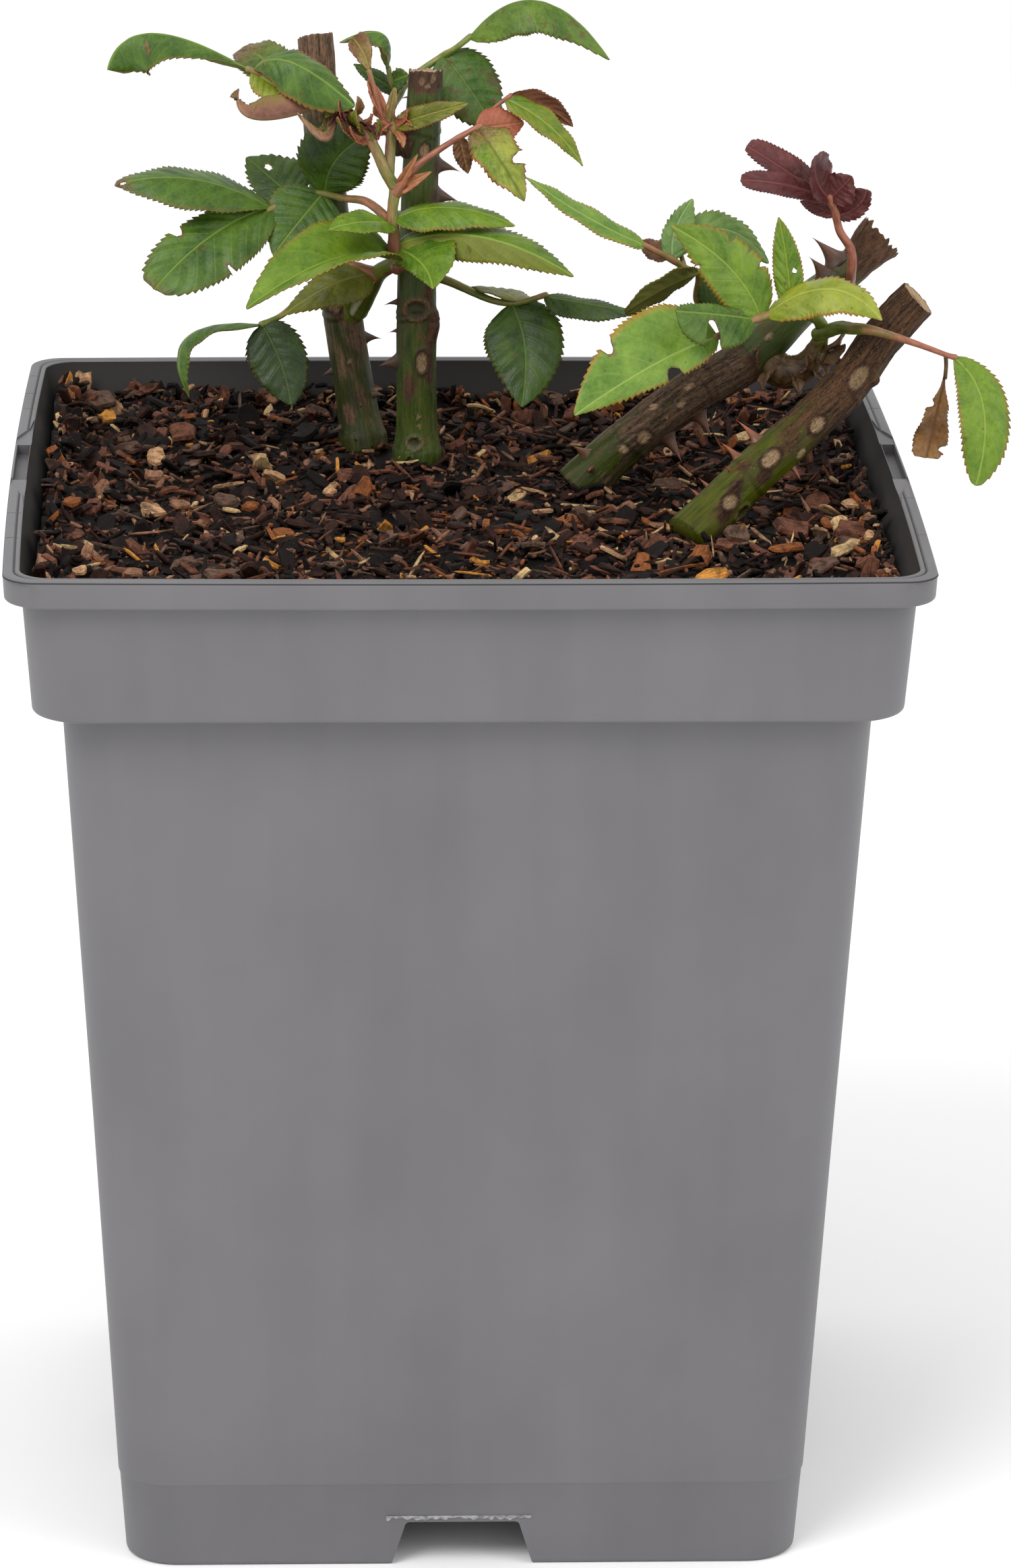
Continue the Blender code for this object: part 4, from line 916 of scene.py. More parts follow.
# path and radii run from foot to tip, and so do brown, the share of brown bark, and rough, its relief in mm
# marks: share of the way up, direction, length, width and kind
# thorns and stubs: share of the way up, direction, length, width of the foot or radius
canes = {
    "cane_left": {
        "path": [(-20, 54, 218), (-22.8, 57, 235), (-25.5, 59, 253), (-27.6, 60, 272), (-29.3, 60.5, 291),
                 (-30.4, 61, 307)],
        "radii": (4.5, 4.35, 4.2, 4.05, 3.9), "flare": 0.22, "cut": (-0.18, 0.3, 1.0),
        "brown": (0.10, 0.05, 0.42, 0.10, 0.05, 0.05, 0.10, 0.35, 0.9, 1.0), "rough": (0.10, 0.10, 0.22),
        "colours": "olive", "thornTone": 0.35, "ragged": 0.5,
        "rings": [0.31, 0.335, 0.62, 0.86],
        "marks": [(0.10, (0.2, -1, 0), 5, 4.5, "red"), (0.345, (-0.35, -1, 0), 5.5, 3.8, "scar"),
                  (0.34, (0.1, -1, 0), 12, 6, "brown"), (0.24, (0.6, -0.8, 0), 5, 6, "brown"),
                  (0.06, (-0.5, -1, 0), 6, 4, "brown"), (0.5, (-0.2, -1, 0), 1.6, 1.2, "dot"),
                  (0.19, (0.0, -1, 0), 1.2, 1.0, "dot"), (0.57, (0.3, -1, 0), 1.2, 1.0, "dot")],
        "thorns": [(0.03, (-1, -0.4, 0), 2.6, 3.0), (0.10, (0.9, -0.5, 0), 3.0, 4.0),
                   (0.08, (0.2, -1, 0), 1.6, 2.6), (0.17, (-1, -0.1, 0), 2.3, 3.2),
                   (0.24, (1, 0, 0), 3.3, 4.4), (0.68, (-1, 0, -0.1), 3.6, 3.2)],
    },
    "cane_centre": {
        "path": [(-8, 42, 218), (-8.2, 42, 232), (-8.2, 42, 246), (-8.2, 42, 256), (-7.8, 43, 273.6),
                 (-7, 43.5, 291.6), (-6.4, 44, 302.8)],
        "radii": (4.5, 4.4, 4.3, 4.0, 3.7), "flare": 0.22, "cut": (0.0, 0.12, 1.0),
        "brown": (0.06, 0.06, 0.16, 0.22, 0.30, 0.12, 0.05, 0.05, 0.05, 0.05, 0.2),
        "rough": (0.10, 0.16, 0.10),
        "colours": "green", "thornTone": 0.3, "ragged": 0.7,
        "rings": [0.36, 0.375, 0.845],
        "marks": [(0.385, (-0.05, -1, 0), 4.2, 5.2, "bud"), (0.34, (0.95, -0.5, 0), 9, 6, "knob"),
                  (0.245, (0.25, -1, 0), 5.2, 2.8, "scar"), (0.17, (-0.45, -1, 0), 9, 3.2, "red"),
                  (0.23, (0.7, -0.8, 0), 13, 3.4, "red"), (0.03, (-0.15, -1, 0), 2.6, 3.2, "bud"),
                  (0.10, (0.05, -1, 0), 1.2, 1.2, "dot"), (0.075, (0.1, -1, 0), 1.0, 1.0, "dot"),
                  (0.80, (0.15, -1, 0), 3.6, 2.4, "scar"), (0.83, (-0.8, -0.7, 0), 3.4, 3.2, "knob"),
                  (0.42, (0.6, -0.8, 0), 6, 3, "brown"), (0.995, (-0.7, -1, 0), 10, 9, "char"),
                  (0.99, (0.5, -1, 0), 8, 8, "char"), (0.985, (1, 0.3, 0), 8, 9, "brown"),
                  (0.985, (-1, 0.3, 0), 8, 9, "brown"), (0.99, (0, 1, 0), 8, 12, "brown"),
                  (0.975, (-0.25, -1, 0), 1.6, 1.4, "dot"), (0.985, (0.45, -1, 0), 2.2, 1.2, "dot"),
                  (0.965, (0.15, -1, 0), 1.2, 1.4, "dot"), (0.67, (1, -0.2, 0), 9, 7, "brown"),
                  (0.75, (1, -0.2, 0), 8, 6, "brown")],
        "thorns": [(0.235, (-1, 0, 0), 4.2, 6.0), (0.32, (-1, -0.1, 0), 1.9, 2.2),
                   (0.395, (-1, 0, -0.2), 3.0, 2.6), (0.675, (1, 0.05, 0.1), 4.7, 5.8),
                   (0.755, (1, 0.05, 0.2), 4.7, 5.2), (0.90, (-0.8, -0.6, 0), 3.2, 2.2),
                   (0.93, (-1, -0.2, 0.1), 2.0, 1.0)],
        "stubs": [(0.81, (-1, -0.35, 0), 2.8, 2.1), (0.85, (-0.95, -0.5, 0), 2.5, 1.5)],
    },
    "cane_right_back": {
        "path": [(28.5, 17, 218), (34.5, 18, 223.4), (41.6, 19, 229), (52, 21.5, 236.2), (61.5, 25, 240.8)],
        "radii": (4.9, 4.9, 4.8, 4.9, 4.9), "flare": 0.06, "cut": None,
        "brown": (0.30, 0.35, 0.65, 0.9, 1.0, 0.95, 0.9), "rough": (0.18, 0.3, 0.34),
        "colours": "grey", "thornTone": 0.62,
        "rings": [0.30, 0.78, 0.83],
        "marks": [(0.37, (0.1, -1, 0), 3.4, 3.2, "scar"), (0.14, (0.3, -1, 0.4), 5, 5, "green"),
                  (0.62, (0.1, -1, 0.2), 2, 1.6, "dot"), (0.5, (-0.3, -0.8, 0.8), 2, 1.6, "dot"),
                  (0.7, (0.2, -0.8, 0.8), 2.4, 1.6, "dot"), (0.25, (0.1, -1, 0.2), 2.2, 2.0, "dot")],
        "thorns": [(0.08, (-0.5, -0.4, 0.8), 4.6, 4.4), (0.05, (-0.4, -0.9, 0.1), 4.4, 3.0),
                   (0.47, (0.3, -0.5, -1), 6.5, 4.6), (0.68, (0.2, -0.5, -1), 5.6, 5.0),
                   (0.52, (-0.2, -1, -0.1), 1.6, 3.0)],
    },
    "cane_right_front": {
        "path": [(50.2, -23.5, 218), (57, -18.5, 223.2), (64.5, -13.5, 229), (81.3, 2, 240), (92, 13, 250.4),
                 (100.2, 19.6, 257.6)],
        "radii": (4.8, 4.8, 4.7, 4.6, 4.5), "flare": 0.06, "cut": (0.72, -0.05, 0.70),
        "brown": (0.22, 0.26, 0.28, 0.38, 0.62, 0.9, 0.98, 1.0, 1.0, 1.0, 1.0),
        "rough": (0.12, 0.2, 0.34, 0.34),
        "colours": "dark", "thornTone": 0.9,
        "rings": [0.205, 0.62],
        "marks": [(0.095, (0.1, -1, 0.15), 4.6, 3.2, "scar"), (0.115, (0.7, -0.8, -0.6), 4.2, 2.8, "bud"),
                  (0.265, (0.1, -1, 0.35), 5.4, 3.3, "scar"), (0.45, (0.2, -1, 0.1), 5.2, 3.0, "scar"),
                  (0.36, (0.5, -0.9, -0.4), 3.4, 2.2, "dot"), (0.655, (0.1, -1, 0.1), 7.5, 4.0, "wide"),
                  (0.70, (0.7, -0.6, -0.4), 4, 4, "knob"), (0.14, (-0.1, -1, 0.3), 6, 4, "red"),
                  (0.06, (0.3, -1, 0), 5, 4, "red"), (0.24, (0.8, -0.6, -0.5), 26, 3.6, "green"),
                  (0.22, (0.4, -0.9, 0), 5, 4, "red")],
        "thorns": [(0.06, (-0.7, 0, 0.7), 2.6, 1.8), (0.10, (-0.7, 0, 0.7), 2.8, 1.8),
                   (0.17, (-0.6, -0.5, 0.5), 2.6, 1.8), (0.22, (-0.7, 0, 0.7), 5.0, 3.4),
                   (0.30, (-0.7, 0, 0.7), 6.0, 4.0), (0.33, (0.7, -0.3, -0.7), 3.4, 2.6),
                   (0.19, (-0.5, -0.7, 0.4), 2.0, 1.4)],
    },
}
boughs = {
    "bough_right": {
        "path": [(57.5, 23.4, 238.8), (63, 25.6, 241.6), (69.1, 27, 247.1), (75.8, 29, 253.5),
                 (86.2, 32, 261.1), (93, 34, 268)],
        "radii": (4.7, 4.8, 4.6, 4.3, 4.0, 3.9, 4.0, 5.2), "flare": 0.0, "cut": (0.75, 0.2, 0.63),
        "brown": (1.0, 0.8, 0.15, 0.05, 0.1, 0.1, 0.45, 0.95, 1.0), "rough": (0.2, 0.1, 0.16, 0.3),
        "colours": "green", "thornTone": 0.55, "ragged": 1.5,
        "rings": [0.18, 0.74],
        "marks": [(0.3, (-0.2, -1, 0.3), 2.0, 1.6, "dot"), (0.5, (0, -1, 0.2), 6, 3, "red")],
        "thorns": [(0.765, (-0.6, -0.2, 0.8), 7.6, 6.6), (0.675, (-0.9, -0.5, 0.2), 6.4, 5.0)],
    },
    "shoot_left": {
        "path": [(-25.4, 58.2, 243.6), (-24, 57.6, 244.6), (-21.2, 54.4, 247.4), (-18.6, 48.4, 253),
                 (-16.6, 42, 258), (-13.1, 33, 262.3)],
        "radii": (3.0, 2.8, 2.3, 2.0, 1.8, 1.7), "flare": 0.0, "cut": None,
        "brown": (0.4, 0.2, 0.0, 0.0, 0.05), "rough": (0.08, 0.06, 0.05),
        "colours": "young", "thornTone": 0.5,
        "rings": [0.12, 0.2], "marks": [(0.9, (0.3, -1, 0), 6, 3, "red")], "thorns": [],
    },
}
barkColours = {                  # dark green, light green, dark brown, light brown
    "olive": (rgb(40, 44, 10), rgb(90, 96, 28), rgb(72, 48, 32), rgb(168, 132, 102)),
    "green": (rgb(46, 62, 14), rgb(96, 114, 38), rgb(60, 36, 24), rgb(132, 94, 66)),
    "grey": (rgb(42, 50, 6), rgb(78, 90, 18), rgb(40, 27, 19), rgb(138, 110, 86)),
    "dark": (rgb(54, 58, 2), rgb(104, 112, 12), rgb(14, 8, 5), rgb(112, 78, 50)),
    "young": (rgb(96, 120, 28), rgb(150, 166, 62), rgb(140, 86, 60), rgb(190, 130, 98)),
}


def barkMaterial(name):
    darkGreen, lightGreen, darkBrown, lightBrown = barkColours[name]
    mat = newMaterial("bark_" + name, Specular_IOR_Level=0.17 if name in ("dark", "grey") else 0.30)
    own = ownPlace(mat)
    brown, bare, dark = splitUp(mat, ownPlace(mat, "tint"))
    streak = noisy(mat, stretched(mat, own, 1.0, 1.0, 0.10), 1.4, 5.0, 0.65)
    blotch = noisy(mat, stretched(mat, own, 1.0, 1.0, 0.45), 0.28, 3.0, 0.55)
    grain = noisy(mat, stretched(mat, own, 1.0, 1.0, 0.35), 3.4, 3.0, 0.6)
    specks = cells(mat, stretched(mat, own, 1.0, 1.0, 0.7), 0.75)
    green = ramped(mat, plus(mat, streak, times(mat, blotch, 0.6)), [(0.55, darkGreen), (1.0, lightGreen)])
    fibres = plus(mat, times(mat, streak, 0.7), times(mat, grain, 0.5))
    earthy = ramped(mat, fibres, [(0.47, darkBrown), (0.76, lightBrown)])
    edge = plus(mat, brown, times(mat, less(mat, blotch, 0.5), 2.2))
    share = ranged(mat, plus(mat, edge, less(mat, streak, 0.5)), 0.25, 0.75)
    colour = mixed(mat, share, green, earthy)
    pale = mixed(mat, ranged(mat, specks, 0.07, 0.14, 0.30, 0.0), colour, rgb(168, 148, 118))
    pith = ramped(mat, grain, [(0.3, rgb(146, 106, 66)), (0.7, rgb(238, 208, 164))])
    bared = mixed(mat, bare, pale, pith)
    done = mixed(mat, times(mat, dark, 0.85), bared, rgb(50, 30, 24))
    rough = ranged(mat, share, 0.0, 1.0, 0.42, 0.78)
    relief = plus(mat, grain, times(mat, streak, 0.8))
    return finish(mat, done, rough, relief, 0.16, 0.8)


def markAt(mark, along, out, radius):
    # what one mark does to a spot on the bark: rise in mm, brown, bare and dark shares
    start, facing, long, wide, kind = mark
    side = math.acos(min(1.0, max(-1.0, out.dot(facing)))) * radius
    reach = math.hypot((along - start) * 2 / long, side * 2 / wide)
    inside = 1 - smoothStep(0.75, 1.0, reach)
    ridge = math.exp(-((reach - 1.08) / 0.17) ** 2)
    if kind == "knob":
        return 1.1 * (1 - smoothStep(0.0, 1.1, reach)), 1 - smoothStep(0.3, 1.1, reach), 0.0, 0.4 * ridge
    if kind in stains:
        brown, dark = stains[kind]
        spread = 1 - smoothStep(0.35, 1.2, reach)
        return 0.0, brown * spread, 0.0, dark * spread
    return [onRidge * ridge + within * inside + steady for onRidge, within, steady in raisedMarks[kind]]


def barkAt(limb, marks, along, share, turn, out, radius):
    own = Vector((math.cos(turn) * radius, math.sin(turn) * radius, along))
    ridges = noise.fractal(Vector((own.x * 0.45, own.y * 0.45, along * 0.07 + radius)), 0.7, 2.1, 4)
    lumps = noise.noise(Vector((own.x * 0.16, own.y * 0.16, along * 0.12 + 7)))
    rough = blend(limb["rough"], share)
    rise = rough * ridges + rough * 0.9 * lumps
    brown, bare, dark = blend(limb["brown"], share), 0.0, 0.0
    for mark in marks:
        if abs(mark[0] - along) < mark[2]:
            up, more, bared, darker = markAt(mark, along, out, radius)
            rise, brown, bare, dark = rise + up, brown + more, max(bare, bared), max(dark, darker)
    for ring in limb["rings"]:
        apart = along - limb["length"] * ring - 0.6 * math.sin(turn * 2 + ring * 30)
        if abs(apart) < 3:
            rise += 0.22 * math.exp(-(apart / 0.55) ** 2) - 0.1 * math.exp(-((apart + 0.8) / 0.4) ** 2)
            dark = max(dark, 0.6 * math.exp(-((apart + 0.8) / 0.35) ** 2))
    return rise, own, (min(1.0, max(0.0, brown)), bare, dark)


def limbRings(limb):
    # the limb's own points, ring by ring, with the values its bark reads
    path = evenPath(smoothPath(limb["path"], 12), bark["ringStep"])
    limb["length"] = lengthsAlong(path)[-1]
    level = path[0].z
    ahead = (path[1] - path[0]).normalized()
    below = []
    if level < mulch["top"] + 2:
        below = [path[0] - ahead * bark["sunk"] * k / 4 for k in (4, 3, 2, 1)]
    marks = []
    for share, facing, long, wide, kind in limb["marks"]:
        _, way = atShare(path, share)
        marks.append((share * limb["length"], sideways(way, facing), long, wide, kind))
    rings = []
    for i, (centre, _, across, other) in enumerate(framesAlong(below + path, ahead)):
        share = max(0, i - len(below)) / (len(path) - 1)
        along = (i - len(below)) * limb["length"] / (len(path) - 1)
        flare = 1 + limb["flare"] * math.exp(min(0.0, level - centre.z) / 3.0)
        radius = blend(limb["radii"], share) * flare
        ring = []
        for turn in fullTurn(bark["sides"]):
            out = across * math.cos(turn) + other * math.sin(turn)
            rise, own, tint = barkAt(limb, marks, along, share, turn, out, radius)
            ring.append((centre + out * (radius + rise), own, tint))
        rings.append(ring)
    return path, rings


def capRings(limb, path, rings):
    # the upper end: a pruning cut with bark lip, wood and pith, or a round end inside a node
    end, ahead = path[-1], (path[-1] - path[-2]).normalized()
    last = rings[-1]
    if not limb["cut"]:
        for share, push in bark["roundEnd"]:
            rings.append([(end + (p - end) * share + ahead * push, own * share, tint)
                          for p, own, tint in last])
        return
    plane = Vector(limb["cut"]).normalized()
    ragged = limb.get("ragged", 0.25)

    def onCut(p):
        return p + ahead * ((end - p).dot(plane) / ahead.dot(plane))

    tilt = [(onCut(p) - p).dot(ahead) for p, _, _ in last]
    reach = max(2, int(max(abs(t) for t in tilt) / bark["ringStep"]) + 4)
    lip = []
    for lean, (_, own, _) in zip(tilt, last):
        tooth = noise.noise(own * 0.9 + Vector((3, 0, 0))) + 0.6 * noise.noise(own * 2.3)
        lip.append(lean + ragged * tooth)
    for back in range(reach):            # the last rings are squeezed up or down to meet the cut
        share = 1 - back / reach
        for k, (p, own, tint) in enumerate(rings[-1 - back]):
            rings[-1 - back][k] = (p + ahead * lip[k] * share, own, tint)
    last = rings[-1]
    funnel = 0.8 if ragged > 1 else 0.15
    for share, sink, bare, dark in bark["cutFace"]:
        ring = []
        for p, own, _ in last:
            edge = end + (p - end) * share
            spot = onCut(edge).lerp(edge, max(0.0, (share - 0.8) / 0.2)) - ahead * sink
            spot -= ahead * funnel * (1 - share) * 2.2
            spot += ahead * 0.09 * noise.noise(own * share * 1.6)
            ring.append((spot, Vector((own.x * share, own.y * share, own.z)), (1.0, bare, dark)))
        rings.append(ring)


def addRings(pile, rings, slot=0):
    points, places, tints = zip(*[value for ring in rings for value in ring])
    pile.add(points, tubeFaces(len(rings), len(rings[0])), slot, ownPlace=places, tint=tints)


def thorn(pile, path, limb, share, direction, length, foot):
    # a hooked prickle on a long foot, which flares where it meets the bark
    centre, ahead = atShare(path, share)
    radius = blend(limb["radii"], share)
    out = sideways(ahead, direction)
    down = Vector((0, 0, -1))
    drop = down - out * out.dot(down)
    across = ahead.cross(out).normalized()
    sunk = bark["thornSunk"]
    rings = []
    for i in range(bark["thornRings"] + 1):
        t = i / bark["thornRings"]
        spot = centre + out * (radius - sunk + (length + sunk) * t)
        spot += drop * length * bark["thornHook"] * t * t
        flare = math.exp(-(t / 0.14) ** 2)
        tall = foot / 2 * (0.82 * (1 - t) ** 1.5 + 0.38 * flare + 0.012)
        wide = foot / 3.4 * (0.85 * (1 - t) ** 1.25 + 0.42 * flare + 0.016)
        ring = []
        for turn in fullTurn(bark["thornSides"]):
            p = spot + ahead * math.cos(turn) * tall + across * math.sin(turn) * wide
            ring.append((p, Vector((t * length, turn, share * 40)), (t, limb["thornTone"], 0.0)))
        rings.append(ring)
    addRings(pile, rings, 1)


def stub(pile, path, limb, share, direction, length, radius):
    # the rough dark rest of a shoot that was taken off close to the cane
    centre, ahead = atShare(path, share)
    out = sideways(ahead, direction)
    across = ahead.cross(out).normalized()
    sunk = bark["thornSunk"]
    skin = blend(limb["radii"], share) - sunk
    rings = []
    for t, size in bark["stubSides"]:
        dark = 0.75 if 0.2 < t < 0.95 else 0.4
        ring = []
        for turn in fullTurn(bark["thornSides"]):
            way = ahead * math.cos(turn) * 1.25 + across * math.sin(turn)
            own = way * radius * size + out * length * t
            rough = 1 + 0.3 * noise.noise(own * 0.9 + Vector((share * 90, 0, 0)))
            spot = centre + out * (skin + (length + sunk) * t * rough) + way * radius * size * rough
            ring.append((spot, own, (1.0, 0.15, dark)))
        rings.append(ring)
    addRings(pile, rings)


def thornMaterial():
    mat = newMaterial("thornHorn", Roughness=0.42)
    along, tone, _ = splitUp(mat, ownPlace(mat, "tint"))
    streak = noisy(mat, stretched(mat, ownPlace(mat), 0.4, 2.0, 1.0), 1.2, 3.0)
    grey = ramped(mat, along, [(0.0, rgb(66, 46, 34)), (0.3, rgb(122, 92, 72)), (0.8, rgb(132, 100, 80)),
                               (1.0, rgb(84, 56, 42))])
    red = ramped(mat, along, [(0.0, rgb(112, 84, 44)), (0.3, rgb(150, 84, 52)), (0.8, rgb(214, 118, 66)),
                              (1.0, rgb(176, 84, 44))])
    both = mixed(mat, ranged(mat, tone, 0.5, 0.9), grey, red)
    shade = ranged(mat, streak, 0.3, 0.7, 0.0, 0.35)
    return finish(mat, mixed(mat, shade, both, rgb(70, 50, 42)), None, streak, 0.06, 0.6)


def growLimb(name, limb):
    pile = Mesh("ownPlace", "tint")
    path, rings = limbRings(limb)
    capRings(limb, path, rings)
    addRings(pile, rings)
    for spec in limb["thorns"]:
        thorn(pile, path, limb, *spec)
    for spec in limb.get("stubs", ()):
        stub(pile, path, limb, *spec)
    piece = pile.piece(name + "_bark", [barkMaterial(limb["colours"]), horn])
    hand(piece, "brown_bark" if limb["colours"] in ("grey", "dark") else "green_bark", name)


horn = thornMaterial()
for name, limb in (canes | boughs).items():
    growLimb(name, limb)
print("stage: canes and boughs grown")


# ---- foliage

foliage = {
    "toothPitch": 1.35,         # mm along the margin of a full-sized leaflet
    "toothDepth": 0.72,
    "fullWidth": 14.0,           # leaflets narrower than this have finer teeth
    "columns": 8,                # on each side of a midrib
    "columnsHoled": 24,
    "thick": 0.24,
    "midrib": 0.34,              # how far the midrib stands out below
    "quilt": 0.30,               # rise of the blade between two side veins
    "veins": 7,
    "veinLag": 0.24,
    "twigSides": 14,
    "twigStep": 0.7,
    "seed": 5,
}
# upper side dark and light, underside, veins, margin
leafLooks = {
    "dark": (rgb(22, 44, 8), rgb(58, 84, 18), rgb(92, 104, 44), rgb(84, 112, 40), rgb(120, 92, 32)),
    "deep": (rgb(34, 64, 8), rgb(80, 112, 20), rgb(98, 116, 46), rgb(104, 138, 46), rgb(130, 96, 36)),
    "mid": (rgb(54, 92, 18), rgb(104, 142, 42), rgb(124, 138, 54), rgb(142, 172, 66), rgb(150, 104, 40)),
    "bright": (rgb(82, 124, 14), rgb(136, 170, 40), rgb(136, 146, 46), rgb(166, 192, 74), rgb(176, 124, 44)),
    "light": (rgb(94, 140, 34), rgb(146, 182, 66), rgb(146, 158, 62), rgb(180, 206, 100), rgb(200, 148, 56)),
    "lime": (rgb(134, 152, 26), rgb(182, 192, 60), rgb(146, 152, 56), rgb(196, 204, 98), rgb(200, 140, 56)),
    "teal": (rgb(84, 126, 48), rgb(138, 170, 82), rgb(140, 154, 86), rgb(160, 192, 118), rgb(156, 124, 62)),
    "mottled": (rgb(62, 104, 22), rgb(118, 148, 58), rgb(104, 110, 54), rgb(118, 144, 68), rgb(86, 60, 36)),
    "spotted": (rgb(66, 102, 16), rgb(122, 154, 44), rgb(124, 138, 54), rgb(146, 174, 74), rgb(122, 84, 40)),
    # olive's underside is the leaves' paler underside, made lighter still as painted light where it faces
    # down into shade
    "olive": (rgb(92, 102, 14), rgb(146, 148, 44), rgb(146, 150, 66), rgb(160, 160, 72), rgb(150, 70, 44)),
    "crinkled": (rgb(104, 146, 20), rgb(190, 206, 80), rgb(156, 130, 56), rgb(96, 120, 24), rgb(196, 92, 66)),
    "bronze": (rgb(96, 60, 34), rgb(142, 92, 54), rgb(160, 100, 74), rgb(172, 126, 76), rgb(112, 54, 44)),
    "curled": (rgb(96, 112, 36), rgb(158, 168, 84), rgb(156, 104, 84), rgb(186, 148, 110), rgb(146, 128, 62)),
    "pink": (rgb(134, 92, 58), rgb(182, 138, 84), rgb(164, 96, 80), rgb(190, 146, 104), rgb(150, 70, 54)),
    "blush": (rgb(168, 86, 58), rgb(222, 146, 104), rgb(190, 108, 82), rgb(214, 164, 108), rgb(176, 60, 44)),
    "bract": (rgb(140, 96, 68), rgb(204, 182, 110), rgb(176, 120, 92), rgb(182, 180, 92), rgb(134, 76, 62)),
    "heel": (rgb(92, 116, 22), rgb(144, 158, 50), rgb(120, 130, 50), rgb(160, 168, 80), rgb(208, 170, 112)),
    "wine": (rgb(74, 30, 32), rgb(122, 56, 52), rgb(112, 50, 50), rgb(140, 76, 72), rgb(84, 28, 32)),
    "dead": (rgb(122, 78, 40), rgb(190, 142, 84), rgb(182, 134, 84), rgb(126, 80, 44), rgb(92, 54, 30)),
    "papery": (rgb(104, 70, 46), rgb(176, 142, 106), rgb(170, 136, 102), rgb(130, 92, 62), rgb(96, 60, 38)),
}


plainBlade = {                   # what a leaflet is like where nothing else is said
    "bow": 0.0,                  # how far its midrib bows out, in mm
    "peak": 0.5,                 # where along it that is
    "sway": 0.0,                 # its sideways curve, in mm
    "fold": 0.0,                 # of its halves, in degrees; "folds" gives each its own
    "curls": (-12, -12),
    "halves": (1.0, 1.0),        # width of its first and second side
    "shape": (0.55, 0.85),       # how full it is towards foot and tip; "shapes" gives each side its own
    "look": "mid",
    "quilt": foliage["quilt"],
    "wave": 0.25,
    "twist": 0,
    "bites": (),                 # side, place, span, depth
    "holes": (),                 # place, across, length, width
    "spots": (),
    "brown": 0.0,                # of its tip
    "brownFrom": 0.78,
    "brownFoot": 0.0,
    "flush": 0.0,
    "edge": 0.25,
    "turned": None,              # the side whose upper faces take the underside's colour, as painted shade on a half that hangs away from the light
}


def blade(at, reach, width, face, **more):
    # one leaflet: its place on the spray, its run from foot to tip, its width, the way its face looks
    return {**plainBlade, "at": at, "reach": reach, "width": width, "face": face, **more}


def scale(at, reach, look="papery"):
    # a small dry scale at a joint
    size = Vector(reach).length
    return blade(at, reach=reach, width=size * 0.5, face=(reach[0] * 0.3, -0.8, 0.5), bow=size * 0.16,
                 fold=22, shape=(0.45, 0.8), look=look, wave=0.3 if look == "papery" else 0.12, twist=20)


